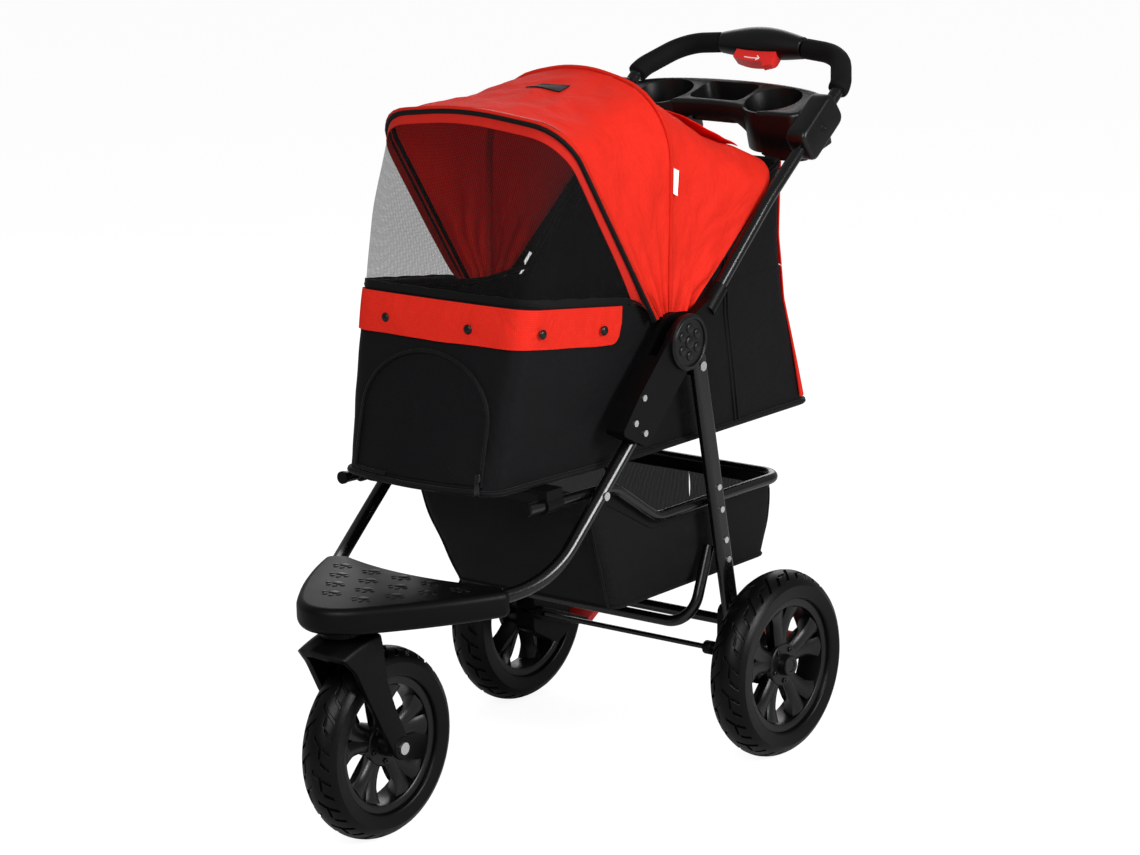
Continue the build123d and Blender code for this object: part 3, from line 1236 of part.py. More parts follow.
with BuildPart() as basket:
    add(basket_body(0, 0))
    add(basket_body(CLOTH_T, CLOTH_T), mode=Mode.SUBTRACT)
    with BuildSketch(Plane.YZ.offset(-FRAME_X)):
        far = 2 * FRONT_AXLE_Y
        Polygon(
            (far, BASKET_NOSE[1]),
            BASKET_NOSE,
            BASKET_KNEE,
            BASKET_DIP,
            BASKET_REAR,
            (-far, BASKET_REAR[1]),
            (-far, TUB_TOP_Z),
            (far, TUB_TOP_Z),
            align=None,
        )
    extrude(amount=2 * FRAME_X, mode=Mode.SUBTRACT)
basket.part.label = "basket"
export_step(basket.part, "parts/basket.step")
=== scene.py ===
# %% [markdown]
# # A folding three-wheel pet stroller
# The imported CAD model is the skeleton: tubes, pins, hinges and wheels at their real size, in metres.
# This lesson dresses it. Cloth, mesh, foam and moulded shells are modelled over the frame, and every
# surface gets a procedural material. Front is -Y, the left side is +X and up is +Z.

# %% Load the frame
import json
import math

import bpy
from mathutils import Matrix, Vector, noise
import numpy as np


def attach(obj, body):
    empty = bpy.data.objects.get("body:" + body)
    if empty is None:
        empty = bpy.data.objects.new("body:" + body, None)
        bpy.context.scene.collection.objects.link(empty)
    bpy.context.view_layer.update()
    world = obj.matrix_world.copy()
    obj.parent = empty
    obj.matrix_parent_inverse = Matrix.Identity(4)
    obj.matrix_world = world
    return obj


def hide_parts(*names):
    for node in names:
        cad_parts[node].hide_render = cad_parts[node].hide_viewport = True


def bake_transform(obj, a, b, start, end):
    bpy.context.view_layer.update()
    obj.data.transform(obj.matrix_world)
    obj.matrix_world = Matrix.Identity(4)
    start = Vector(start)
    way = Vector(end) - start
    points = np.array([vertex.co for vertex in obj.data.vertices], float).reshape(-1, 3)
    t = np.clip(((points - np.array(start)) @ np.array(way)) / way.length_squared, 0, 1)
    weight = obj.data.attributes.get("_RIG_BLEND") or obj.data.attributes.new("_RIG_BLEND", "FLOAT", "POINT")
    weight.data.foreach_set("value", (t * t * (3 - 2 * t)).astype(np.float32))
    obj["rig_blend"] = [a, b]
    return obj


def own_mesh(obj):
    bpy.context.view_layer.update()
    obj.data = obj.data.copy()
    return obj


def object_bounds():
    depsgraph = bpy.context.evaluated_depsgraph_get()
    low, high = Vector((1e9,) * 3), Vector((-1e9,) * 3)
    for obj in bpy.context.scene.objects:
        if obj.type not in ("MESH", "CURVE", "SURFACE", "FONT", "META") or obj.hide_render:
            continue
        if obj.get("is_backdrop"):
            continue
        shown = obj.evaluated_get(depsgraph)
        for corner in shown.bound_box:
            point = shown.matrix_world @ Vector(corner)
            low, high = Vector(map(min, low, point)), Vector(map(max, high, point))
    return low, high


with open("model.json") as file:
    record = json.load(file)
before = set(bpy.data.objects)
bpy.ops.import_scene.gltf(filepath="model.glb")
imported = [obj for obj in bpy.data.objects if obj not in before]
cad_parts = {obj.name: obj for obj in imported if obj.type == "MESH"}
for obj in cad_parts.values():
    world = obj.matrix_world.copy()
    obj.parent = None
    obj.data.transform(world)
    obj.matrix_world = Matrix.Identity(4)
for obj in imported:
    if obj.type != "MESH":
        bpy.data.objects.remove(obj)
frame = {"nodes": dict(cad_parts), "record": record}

cad_low, cad_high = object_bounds()
print("CAD box", tuple(round(v, 3) for v in cad_low), tuple(round(v, 3) for v in cad_high))

# %% [markdown]
# ## Working by hand, in code
# Operators act on whatever is selected, and loading leaves the CAD nodes selected. So each step first
# clears the selection, then works on one object. These few helpers are the hands of the lesson: pick a
# piece up, apply a modifier, give a piece its finish and hang it on a moving body.


# %% Helpers for picking, applying and finishing
def nothing_selected():
    """Leave edit mode and clear the selection."""
    if bpy.context.object and bpy.context.object.mode != "OBJECT":
        bpy.ops.object.mode_set(mode="OBJECT")
    bpy.ops.object.select_all(action="DESELECT")


def pick(piece):
    """Select one object and nothing else."""
    nothing_selected()
    piece.select_set(True)
    bpy.context.view_layer.objects.active = piece


def named(name):
    """Name the object that an operator has just added."""
    piece = bpy.context.object
    piece.name = name
    piece.data.name = name
    return piece


def apply(piece, kind, **settings):
    """Add a modifier, set it and apply it."""
    pick(piece)
    made = piece.modifiers.new(kind.title(), kind)
    for key, value in settings.items():
        setattr(made, key, value)
    bpy.ops.object.modifier_apply(modifier=made.name)


def soften(piece, width, segments=2, sharper_than=50):
    """Bevel the edges that are sharper than an angle in degrees."""
    limit = math.radians(sharper_than)
    apply(piece, "BEVEL", width=width, segments=segments, limit_method="ANGLE", angle_limit=limit)


def settle():
    """Put the place, turn and scale of the object in hand into its mesh."""
    bpy.ops.object.transform_apply(location=True, rotation=True, scale=True)


def edit_all(piece):
    """Go into edit mode with the whole mesh selected."""
    pick(piece)
    bpy.ops.object.mode_set(mode="EDIT")
    bpy.ops.mesh.select_all(action="SELECT")


def edit_faces(piece, test):
    """Go into edit mode with only the faces selected whose centre and normal pass the test."""
    pick(piece)
    bpy.ops.object.mode_set(mode="EDIT")
    bpy.ops.mesh.select_mode(type="FACE")
    bpy.ops.mesh.select_all(action="DESELECT")
    bpy.ops.object.mode_set(mode="OBJECT")
    for face in piece.data.polygons:
        face.select = test(face.center, face.normal)
    bpy.ops.object.mode_set(mode="EDIT")


def outward(piece, merge=0.00002):
    """Merge doubles and turn every face outwards."""
    edit_all(piece)
    bpy.ops.mesh.remove_doubles(threshold=merge)
    bpy.ops.mesh.normals_make_consistent(inside=False)
    bpy.ops.object.mode_set(mode="OBJECT")


def together(name, pieces):
    """Join several objects into one."""
    pick(pieces[0])
    for piece in pieces[1:]:
        piece.select_set(True)
    if len(pieces) > 1:
        bpy.ops.object.join()
    return named(name)


def dress(piece, body, material, slot, smooth=40):
    """Settle a finished piece at the origin, smooth it, paint it and hang it on its body."""
    pick(piece)
    settle()
    bpy.ops.object.shade_smooth_by_angle(angle=math.radians(smooth))
    piece.data.materials.clear()
    piece.data.materials.append(material)
    if body:
        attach(piece, body)
    print(piece.name, len(piece.data.polygons), "faces on", body)


def cloth_grid(name, across, along, place, size=(1.0, 1.0)):
    """A flat grid whose points are moved to place(u, v); its UV map is the cut cloth, in metres."""
    nothing_selected()
    bpy.ops.mesh.primitive_grid_add(x_subdivisions=across, y_subdivisions=along, size=1)
    piece = named(name)
    spots = [(v.co.x + 0.5, v.co.y + 0.5) for v in piece.data.vertices]
    for corner in piece.data.loops:
        u, v = spots[corner.vertex_index]
        piece.data.uv_layers[0].data[corner.index].uv = (u * size[0], v * size[1])
    for vertex, (u, v) in zip(piece.data.vertices, spots):
        vertex.co = place(u, v)
    return piece


def face_area(piece):
    """The area of a surface that has no thickness yet."""
    return sum(face.area for face in piece.data.polygons)


def cut_from(piece, flat, area):
    """Print the cloth a sheet takes: its own area, which is at most that of the rectangle it is cut from."""
    min(area, flat[0] * flat[1])
    print(piece.name, "takes", round(area, 4), "square metres of cloth")


def fold_down(piece):
    """Give a piece of loose cloth its own copy of its mesh."""
    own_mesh(piece)


def rounded(points, radii, steps=7):
    """A line through points, flat or in space, with an arc at each inner corner."""
    line = [Vector(points[0])]
    for i, radius in enumerate(radii, 1):
        corner = Vector(points[i])
        back = (Vector(points[i - 1]) - corner).normalized()
        ahead = (Vector(points[i + 1]) - corner).normalized()
        half = back.angle(ahead) / 2
        middle = corner + (back + ahead).normalized() * (radius / math.sin(half))
        spoke = corner + back * (radius / math.tan(half)) - middle
        sweep = math.pi - 2 * half
        for k in range(steps + 1):
            turn = sweep * k / steps
            line.append(middle + spoke * math.cos(turn) - back * (radius * math.sin(turn)))
    line.append(Vector(points[-1]))
    return line


def stations(line, count):
    """Points at even distances along a line."""
    marks = [0.0]
    for a, b in zip(line, line[1:]):
        marks.append(marks[-1] + (b - a).length)
    spots = []
    k = 0
    for i in range(count + 1):
        want = marks[-1] * i / count
        while k < len(marks) - 2 and marks[k + 1] < want:
            k += 1
        share = (want - marks[k]) / max(marks[k + 1] - marks[k], 1e-9)
        spots.append(line[k].lerp(line[k + 1], share))
    return spots


def at(row, share):
    """The point at a share of the way along a list of points."""
    spot = min(max(share, 0.0), 1.0) * (len(row) - 1)
    low = min(int(spot), len(row) - 2)
    return row[low].lerp(row[low + 1], spot - low)


def ripple(point, scale, seed=0.0):
    """Smooth noise from -1 to 1, the same at every run."""
    return noise.noise(Vector(point) * scale + Vector((seed, seed * 0.7, -seed)))


# %% [markdown]
# ## Camera and light
# The photograph was taken with a long lens from the front left, a little above the handle. Its place was
# solved from the wheels and tubes. The light is a soft studio: a bright surround, one large lamp to the left
# of the camera, one to its right and a weak one behind the object. The background is white for the camera,
# and for what it sees through thin things.

# %% Camera
nothing_selected()
bpy.ops.object.camera_add()
camera = bpy.context.object
camera.name = "photo_camera"
camera.data.sensor_fit = "HORIZONTAL"
camera.data.sensor_width = 36.0
camera.data.lens = 114.08
camera.data.clip_end = 60.0
right = Vector((0.78408, 0.62035, -0.01987))
upward = Vector((-0.12760, 0.19245, 0.97300))
backward = Vector((0.60741, -0.76036, 0.23005))
view = Matrix((right, upward, backward)).transposed().to_4x4()
view.translation = (3.1404, -3.9011, 1.6776)
camera.matrix_world = view
bpy.context.scene.camera = camera
bpy.context.scene.view_settings.view_transform = "Standard"
print("camera at", tuple(round(v, 2) for v in camera.location))


# %% One function adds a node
def add_node(tree, kind, inputs=None, **settings):
    """Add a node, set it, and fill its inputs with values or links."""
    made = tree.nodes.new(kind)
    for key, value in settings.items():
        setattr(made, key, value)
    for key, value in (inputs or {}).items():
        if isinstance(value, bpy.types.NodeSocket):
            tree.links.new(value, made.inputs[key])
        else:
            made.inputs[key].default_value = value
    return made


def colour(hex_code):
    """An sRGB hex colour as linear values, opaque."""
    parts = [int(hex_code[i:i + 2], 16) / 255 for i in (1, 3, 5)]
    return tuple(c / 12.92 if c <= 0.04045 else ((c + 0.055) / 1.055) ** 2.4 for c in parts) + (1.0,)


def new_material(name):
    """An empty material: its tree and its output."""
    material = bpy.data.materials.new(name)
    material.use_nodes = True
    material.node_tree.nodes.clear()
    output = add_node(material.node_tree, "ShaderNodeOutputMaterial")
    return material, material.node_tree, output


def seen_directly(tree):
    """One for a ray from the camera, also through something thin, and nought for one that lights the object."""
    rays = add_node(tree, "ShaderNodeLightPath")
    both = {0: rays.outputs["Is Camera Ray"], 1: rays.outputs["Is Transmission Ray"]}
    return add_node(tree, "ShaderNodeMath", both, operation="ADD", use_clamp=True).outputs[0]


# %% Floor, surround and lamps
nothing_selected()
bpy.ops.mesh.primitive_plane_add(size=30, location=(0, 0, -0.0005))
floor = named("studio_floor")
paper, tree, output = new_material("studio_paper")
matte = add_node(tree, "ShaderNodeBsdfDiffuse", {"Color": colour("#c8c8c8")})
dim = add_node(tree, "ShaderNodeBsdfDiffuse", {"Color": colour("#8c8c8c")})
glow = add_node(tree, "ShaderNodeEmission", {"Strength": 0.90})
bright = add_node(tree, "ShaderNodeAddShader", {0: dim.outputs[0], 1: glow.outputs[0]})
mixed = add_node(tree, "ShaderNodeMixShader", {
    0: seen_directly(tree), 1: matte.outputs[0], 2: bright.outputs[0]})
tree.links.new(mixed.outputs[0], output.inputs["Surface"])
floor.data.materials.append(paper)
floor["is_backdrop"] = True

world = bpy.data.worlds.new("studio_surround")
bpy.context.scene.world = world
world.use_nodes = True
tree = world.node_tree
tree.nodes.clear()
soft = add_node(tree, "ShaderNodeBackground", {"Color": colour("#ffffff"), "Strength": 0.26})
white = add_node(tree, "ShaderNodeBackground", {"Color": colour("#ffffff"), "Strength": 1.0})
mixed = add_node(tree, "ShaderNodeMixShader", {0: seen_directly(tree), 1: soft.outputs[0], 2: white.outputs[0]})
add_node(tree, "ShaderNodeOutputWorld", {"Surface": mixed.outputs[0]})

LAMP_TARGET = Vector((0, 0, 0.55))
for name, place, size, power in (
    ("key_lamp", (1.4, -3.4, 3.0), 2.0, 114),
    ("side_lamp", (3.6, 0.4, 2.0), 1.4, 116),
    ("back_lamp", (-1.9, 2.9, 2.0), 2.2, 30),
):
    nothing_selected()
    bpy.ops.object.light_add(type="AREA", location=place)
    lamp = bpy.context.object
    lamp.name = name
    lamp.data.size = size
    lamp.data.energy = power
    lamp.visible_camera = False
    aim = LAMP_TARGET - Vector(place)
    lamp.rotation_euler = aim.to_track_quat("-Z", "Y").to_euler()
print("studio ready")

# %% [markdown]
# ## Materials
# Each material is named for the real thing. Its colours are sRGB values, its pattern sizes are millimetres
# turned into texture scales, and its gloss starts from what such a surface usually has.


# %% Millimetres to texture scales
def per_mm(size_mm):
    """The scale of a noise or Voronoi texture whose cells are about this many millimetres, on metres."""
    return 1000.0 / size_mm


def bands_mm(period_mm):
    """The scale of a Wave texture whose bands repeat at this many millimetres, on metres."""
    return 2 * math.pi / 20 / (period_mm / 1000.0)


def moulded(name, shade, dark, rough, grain_mm, bump, coat=0.0, shine=0.5):
    """Injection-moulded or sprayed surface: faint tone drift, fine grain in the gloss and in the bump."""
    material, tree, output = new_material(name)
    spot = add_node(tree, "ShaderNodeTexCoord")
    drift = add_node(tree, "ShaderNodeTexNoise", {
        "Vector": spot.outputs["Object"], "Scale": per_mm(60), "Detail": 3.0})
    tone = add_node(tree, "ShaderNodeMix", {
        0: drift.outputs["Fac"], 6: colour(dark), 7: colour(shade)}, data_type="RGBA")
    grain = add_node(tree, "ShaderNodeTexNoise", {
        "Vector": spot.outputs["Object"], "Scale": per_mm(grain_mm), "Detail": 2.0})
    gloss = add_node(tree, "ShaderNodeMapRange", {
        0: grain.outputs["Fac"], 1: 0.3, 2: 0.7, 3: rough - 0.05, 4: rough + 0.07})
    height = add_node(tree, "ShaderNodeBump", {
        "Height": grain.outputs["Fac"], "Strength": bump, "Distance": 0.0004})
    skin = add_node(tree, "ShaderNodeBsdfPrincipled", {
        "Base Color": tone.outputs[2], "Roughness": gloss.outputs[0], "Normal": height.outputs[0]})
    skin.inputs["Specular IOR Level"].default_value = shine
    skin.inputs["Coat Weight"].default_value = coat
    skin.inputs["Coat Roughness"].default_value = 0.15
    tree.links.new(skin.outputs[0], output.inputs["Surface"])
    return material


# Powder-coated steel: deep black, glossy, with a faint orange peel of about 3 mm.
powder_coat = moulded("powder_coated_steel", "#060607", "#040405", 0.22, 3.0, 0.012, coat=0.2, shine=0.4)
# Moulded nylon: satin black with a spark-eroded grain, drawn at 1.5 mm so that it shows.
moulded_nylon = moulded("moulded_nylon", "#060606", "#040404", 0.42, 1.5, 0.10, shine=0.12)
# Moulded ABS: smoother than nylon, for the tray, the bar cover and the wheel mouldings.
moulded_abs = moulded("moulded_abs", "#080808", "#050505", 0.33, 2.0, 0.03, shine=0.34)
# Pigmented red ABS: trigger and pedals.
red_abs = moulded("pigmented_red_abs", "#e2231c", "#cf1d18", 0.36, 2.0, 0.05)
# EVA foam grip: open skin with cells of about 1.5 mm, quite matt.
eva_foam = moulded("eva_foam_grip", "#0b0b0b", "#070707", 0.80, 1.5, 0.5, shine=0.16)
# EVA tyre: moulded foam rubber, satin where the mould was smooth, with a faint drift in its tone.
eva_tyre = moulded("eva_foam_tyre", "#050505", "#030303", 0.36, 2.5, 0.05, shine=0.16)
# Pad-printed white: the arrow on the trigger and the woven tag, which is bare.
white_print = moulded("white_pad_print", "#f4f3f0", "#e6e4df", 0.60, 1.0, 0.10, shine=0.2)

# Nickel-plated screw heads and rivets: bright metal whose gloss wanders a little.
plated, tree, output = new_material("nickel_plated_steel")
spot = add_node(tree, "ShaderNodeTexCoord")
swirl = add_node(tree, "ShaderNodeTexNoise", {
    "Vector": spot.outputs["Object"], "Scale": per_mm(1.2), "Detail": 2.0})
gloss = add_node(tree, "ShaderNodeMapRange", {0: swirl.outputs["Fac"], 3: 0.18, 4: 0.38})
metal = add_node(tree, "ShaderNodeBsdfPrincipled", {
    "Base Color": colour("#e4e4e5"), "Metallic": 1.0, "Roughness": gloss.outputs[0]})
tree.links.new(metal.outputs[0], output.inputs["Surface"])


def woven(name, shade, dark, thread_mm, rough, bump, sheen, crease_mm=70.0, shine=0.12, thin=0.0):
    """Woven cloth on its own UV map: crossed threads, soft creases and an uneven dye."""
    material, tree, output = new_material(name)
    spot = add_node(tree, "ShaderNodeUVMap")
    threads = {"Vector": spot.outputs[0], "Scale": bands_mm(thread_mm), "Distortion": 0.6}
    warp, weft = (add_node(tree, "ShaderNodeTexWave", threads, bands_direction=way) for way in "XY")
    weave = add_node(tree, "ShaderNodeMath", {
        0: warp.outputs["Fac"], 1: weft.outputs["Fac"]}, operation="MULTIPLY")
    crease = add_node(tree, "ShaderNodeTexNoise", {
        "Vector": spot.outputs[0], "Scale": per_mm(crease_mm), "Detail": 4.0, "Roughness": 0.55,
        "Distortion": 0.8})
    dye = add_node(tree, "ShaderNodeTexNoise", {"Vector": spot.outputs[0], "Scale": per_mm(9.0), "Detail": 5.0})
    tint = add_node(tree, "ShaderNodeMath", {0: weave.outputs[0], 1: dye.outputs["Fac"]}, operation="MULTIPLY")
    blend = add_node(tree, "ShaderNodeMapRange", {0: tint.outputs[0], 1: 0.02, 2: 0.45})
    tone = add_node(tree, "ShaderNodeMix", {
        0: blend.outputs[0], 6: colour(dark), 7: colour(shade)}, data_type="RGBA")
    soft_bump = add_node(tree, "ShaderNodeBump", {
        "Height": crease.outputs["Fac"], "Strength": bump, "Distance": 0.010})
    fine_bump = add_node(tree, "ShaderNodeBump", {
        "Height": weave.outputs[0], "Strength": 0.25, "Distance": 0.0006, "Normal": soft_bump.outputs[0]})
    skin = add_node(tree, "ShaderNodeBsdfPrincipled", {
        "Base Color": tone.outputs[2], "Roughness": rough, "Normal": fine_bump.outputs[0], "Sheen Weight": sheen,
        "Sheen Roughness": 0.45, "Specular IOR Level": shine})
    through = add_node(tree, "ShaderNodeBsdfTranslucent", {"Color": tone.outputs[2]})
    cloth = add_node(tree, "ShaderNodeMixShader", {0: thin, 1: skin.outputs[0], 2: through.outputs[0]})
    tree.links.new(cloth.outputs[0], output.inputs["Surface"])
    return material


# Polyester oxford cloth: threads are about 0.5 mm, drawn at 2.4 mm so that the weave shows at all. The red
# cloth is thin, so light from outside glows through to the lining.
red_oxford = woven("red_oxford_polyester", "#fb3b2b", "#e62e20", 2.4, 0.62, 0.55, 0.0, shine=0.06, thin=0.28)
black_oxford = woven("black_oxford_polyester", "#0b0b0e", "#070709", 2.4, 0.66, 0.40, 0.03)
red_lining = woven("red_binding_tape", "#d0281c", "#b01d14", 1.6, 0.80, 0.05, 0.05, 20.0)
black_tape = woven("black_zip_tape", "#0c0c0d", "#070708", 1.8, 0.60, 0.10, 0.05, 12.0)


def netting(name, shade, hole_mm, open_share, closed_share):
    """Knitted mesh: a net of threads with holes, seen through where the alpha is low."""
    material, tree, output = new_material(name)
    spot = add_node(tree, "ShaderNodeUVMap")
    knit = {"Vector": spot.outputs[0], "Scale": bands_mm(hole_mm), "Distortion": 1.5, "Detail": 1.0}
    one, two = (add_node(tree, "ShaderNodeTexWave", knit, bands_direction=way) for way in "XY")
    thread = add_node(tree, "ShaderNodeMath", {
        0: one.outputs["Fac"], 1: two.outputs["Fac"]}, operation="MAXIMUM")
    cover = add_node(tree, "ShaderNodeMapRange", {
        0: thread.outputs[0], 1: 0.35, 2: 0.95, 3: open_share, 4: closed_share})
    drift = add_node(tree, "ShaderNodeTexNoise", {
        "Vector": spot.outputs[0], "Scale": per_mm(30), "Detail": 3.0})
    tone = add_node(tree, "ShaderNodeMix", {
        0: drift.outputs["Fac"], 6: colour("#0c0c0d"), 7: colour(shade)}, data_type="RGBA")
    skin = add_node(tree, "ShaderNodeBsdfPrincipled", {
        "Base Color": tone.outputs[2], "Roughness": 0.8, "Alpha": cover.outputs[0], "Specular IOR Level": 0.2})
    tree.links.new(skin.outputs[0], output.inputs["Surface"])
    return material


# The hood's front window is a light net that one sees through. The basket's net is so dense that it hides
# almost everything. Both are drawn with holes of about 3 mm, larger than the real ones, so that they show.
window_net = netting("black_window_net", "#141415", 3.2, 0.11, 0.64)
basket_net = netting("black_basket_net", "#060607", 2.6, 0.95, 1.0)
print("materials", len(bpy.data.materials))

# %% [markdown]
# ## Finishes for the frame
# The tubes, pins, legs and screws of the CAD model already have the right shape, so they stay and only
# take a finish that suits what they are made of.

# %% Paint the CAD nodes
finishes = {
    "powder_black": powder_coat,
    "zinc_steel": plated,
    "black_nylon": moulded_nylon,
    "black_abs": moulded_abs,
    "red_abs": red_abs,
    "foam": eva_foam,
    "eva_tyre": eva_tyre,
    "red_cloth": red_oxford,
    "black_cloth": black_oxford,
    "black_mesh": basket_net,
    "fibreboard": moulded_nylon,
}
for entry in frame["record"]["subparts"]:
    node = frame["nodes"][entry["node"]]
    node.data.materials.clear()
    finish = powder_coat if entry["node"] == "brake_rod" else finishes[entry["material_slot"]]
    node.data.materials.append(finish)
print("painted", len(frame["nodes"]), "nodes")

# %% [markdown]
# ## Hood
# The hood is red oxford cloth stretched over two wire hoops that turn on the fold pins. Each panel is a
# grid whose two edges follow two arches; between them the cloth sags a little and creases. The hoop
# planes all pass through the hinge, so a place on the hood is an angle and a distance from it.

# %% Arches of the hood
HINGE = Vector((0, 0.045, 0.634))
# Angles of the front hoop, the middle hoop and the handle about the hinge, in degrees from straight back.
FRONT, MIDDLE, REAR = 123.2, 87.4, 37.8


def turned(angle, x, reach, forward=0.0):
    """A point at half width x and distance reach from the hinge, on the plane at an angle, moved forwards."""
    a = math.radians(angle)
    return Vector((x, HINGE.y + reach * math.cos(a) - forward * math.sin(a),
                   HINGE.z + reach * math.sin(a) + forward * math.cos(a)))


def arch(foot, half, side, top, bend, crown, count=72):
    """Even stations along a flat arch, from the left foot over the top to the right foot."""
    points = ((half, foot), (half, side), (0, top), (-half, side), (-half, foot))
    return stations(rounded(points, (bend, crown, bend)), count)


front_arch = arch(0.044, 0.1690, 0.3895, 0.4145, 0.063, 0.42)
middle_arch = arch(0.038, 0.1640, 0.3345, 0.3725, 0.113, 0.24)
rear_arch = arch(0.054, 0.1728, 0.3485, 0.3625, 0.070, 0.60)
front_line = [turned(FRONT, p.x, p.y, 0.004) for p in front_arch]
middle_line = [turned(MIDDLE, p.x, p.y) for p in middle_arch]
rear_line = [turned(REAR, p.x, p.y) for p in rear_arch]
for word, row in (("front", front_arch), ("middle", middle_arch), ("rear", rear_arch)):
    print(word, "arch", round(sum((b - a).length for a, b in zip(row, row[1:])), 3), "metres long")


def panel(near_line, far_line, sag, seed):
    """The place function of a cloth panel between two lines, with a sag and creases between them."""
    def place(u, v):
        a, b = at(near_line, u), at(far_line, u)
        spot = a.lerp(b, v)
        inside = Vector((0, spot.y, HINGE.z)) - spot
        inside.y = 0.0
        inside = inside.normalized() if inside.length > 1e-6 else Vector((0, 0, -1))
        belly = 4 * v * (1 - v)
        pull = ripple((u * 7.0, v * 1.6, 0), 1.0, seed) * 0.0066
        pull += ripple((u * 15.0, v * 3.5 + u * 3.0, 0), 1.0, seed + 3) * 0.0054
        pull += ripple((u * 30.0, v * 8.0 - u * 9.0, 0), 1.0, seed + 5) * 0.0030
        low = math.exp(-min(u, 1 - u) / 0.11)
        pull += 0.0040 * low * math.sin(v * 17.0 + 5.0 * ripple((u * 6.0, v, 0), 1.0, seed + 8))
        hang = sag * belly * math.sin(math.pi * min(max(u, 0), 1))
        return spot + inside * (hang + pull * min(1.0, belly * 2))
    return place


# %% Hood panels
ARCH_LENGTH = 0.93  # about the mean of the front and middle arches
front_place = panel(front_line, middle_line, 0.007, 1.0)
rear_place = panel(middle_line, rear_line, 0.010, 7.0)
FRONT_SPAN = ("mid_hoop", "front_hoop", MIDDLE, FRONT)
REAR_SPAN = ("handle_frame", "mid_hoop", REAR, MIDDLE)


def fan(piece, body_a, body_b, angle_a, angle_b):
    """Let cloth follow two hoops: each point's share is its angle about the hinge between their planes."""
    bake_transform(piece, body_a, body_b, start=turned(angle_a, 0, 0.2), end=turned(angle_b, 0, 0.2))
    shares = piece.data.attributes["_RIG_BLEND"].data
    for share, vertex in zip(shares, piece.data.vertices):
        angle = math.degrees(math.atan2(vertex.co.z - HINGE.z, vertex.co.y - HINGE.y))
        share.value = min(max((angle - angle_a) / (angle_b - angle_a), 0.0), 1.0)


for name, node, along, place, depth, cut, span in (
    ("hood_front_panel", "canopy_front", 28, front_place, 0.23, 0.30, FRONT_SPAN),
    ("hood_rear_panel", "canopy_rear", 32, rear_place, 0.28, 0.36, REAR_SPAN),
):
    piece = cloth_grid(name, 110, along, place, (ARCH_LENGTH, depth))
    area = face_area(piece)
    apply(piece, "SOLIDIFY", thickness=0.0014, offset=0.0, use_even_offset=True)
    dress(piece, None, red_oxford, "red_cloth", 60)
    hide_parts(node)
    fan(piece, *span)
    cut_from(piece, (0.95, cut), area)

# %% [markdown]
# ## Front window, zips and bindings
# A net window closes the front of the hood. It hangs from the front hoop and zips to the rim of the tub,
# so its two long edges are the hoop's arch and the rim. A tape is a narrow strip of the same surface.

# %% The rim, and strips along a line
# The tub's top edge in the side view, as places along the length and heights, from the front to the back.
RIM = ((-0.330, 0.7290), (-0.243, 0.7240), (0.002, 0.6910), (0.118, 0.6820), (0.262, 0.8120), (0.334, 0.8420),
       (0.420, 0.8450))


def height_on(run, y):
    """Height of a bent line in the side view at a place along its length."""
    for (y0, z0), (y1, z1) in zip(run, run[1:]):
        if y <= y1:
            return z0 + (z1 - z0) * (y - y0) / (y1 - y0)
    return run[-1][1]


def rim_edge(half, front, back, bulge, count=72):
    """Stations along the rim from the left foot of the hoop, round the front, to the right foot."""
    side = ((half, back), (half, front), (half * 0.5, front - bulge * 0.75))
    points = side + ((0, front - bulge),) + tuple((-x, y) for x, y in reversed(side))
    flat = rounded(points, (0.026, 0.2, 0.3, 0.2, 0.026))
    return [Vector((p.x, p.y, height_on(RIM, p.y) + 0.0005)) for p in stations(flat, count)]


rim_line = rim_edge(0.1535, -0.241, 0.012, 0.006)
hoop_line = [turned(FRONT, p.x * 0.982, p.y * 0.992, 0.007) for p in front_arch]


def window_at(u, reach):
    """A point on the window, at a distance in metres from the hoop; negative counts from the rim."""
    top, foot = at(hoop_line, u), at(rim_line, u)
    span = max((foot - top).length, 1e-6)
    share = min(max(reach / span if reach >= 0 else 1 + reach / span, 0.0), 1.0)
    spot = top.lerp(foot, share)
    puff = math.sin(math.pi * share) * math.sin(math.pi * u)
    return spot + Vector((0, -0.012 * puff + 0.003 * puff * ripple(spot, 14.0, 5.0), 0))


def window_place(u, v):
    return window_at(u, v * (at(rim_line, u) - at(hoop_line, u)).length)


def piping(name, path, radius, closed=False, sides=3, soft_ends=0):
    """A round bar along a path: a path curve with a round bevel, turned into a mesh."""
    nothing_selected()
    bpy.ops.curve.primitive_nurbs_path_add()
    piece = named(name)
    piece.data.splines.clear()
    line = piece.data.splines.new("POLY")
    line.points.add(len(path) - 1)
    for point, spot in zip(line.points, path):
        point.co = (*spot, 1.0)
    for k in range(soft_ends):
        line.points[k].radius = line.points[-1 - k].radius = math.sin(math.acos(1 - (k + 0.35) / soft_ends))
    line.use_cyclic_u = closed
    piece.data.bevel_depth = radius
    piece.data.bevel_resolution = sides
    piece.data.use_fill_caps = True
    pick(piece)
    bpy.ops.object.convert(target="MESH")
    return named(name)


def tape(name, count, place, width, length):
    """A narrow band: place(u, v) with u along it and v across it, then given a thickness."""
    piece = cloth_grid(name, count, 3, place, (length, width))
    area = face_area(piece)
    apply(piece, "SOLIDIFY", thickness=0.0015, offset=0.0)
    return piece, area


# %% Net window
window = cloth_grid("front_window", 120, 44, window_place, (0.95, 0.42))
area = face_area(window)
dress(window, "front_hoop", window_net, "black_mesh", 80)
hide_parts("mesh_window")
cut_from(window, (0.97, 0.44), area)


# %% Zips, bindings and seams of the hood
def binding_place(u, v):
    return window_at(u, 0.004 + 0.012 * v) + Vector((0, -0.0015, 0))


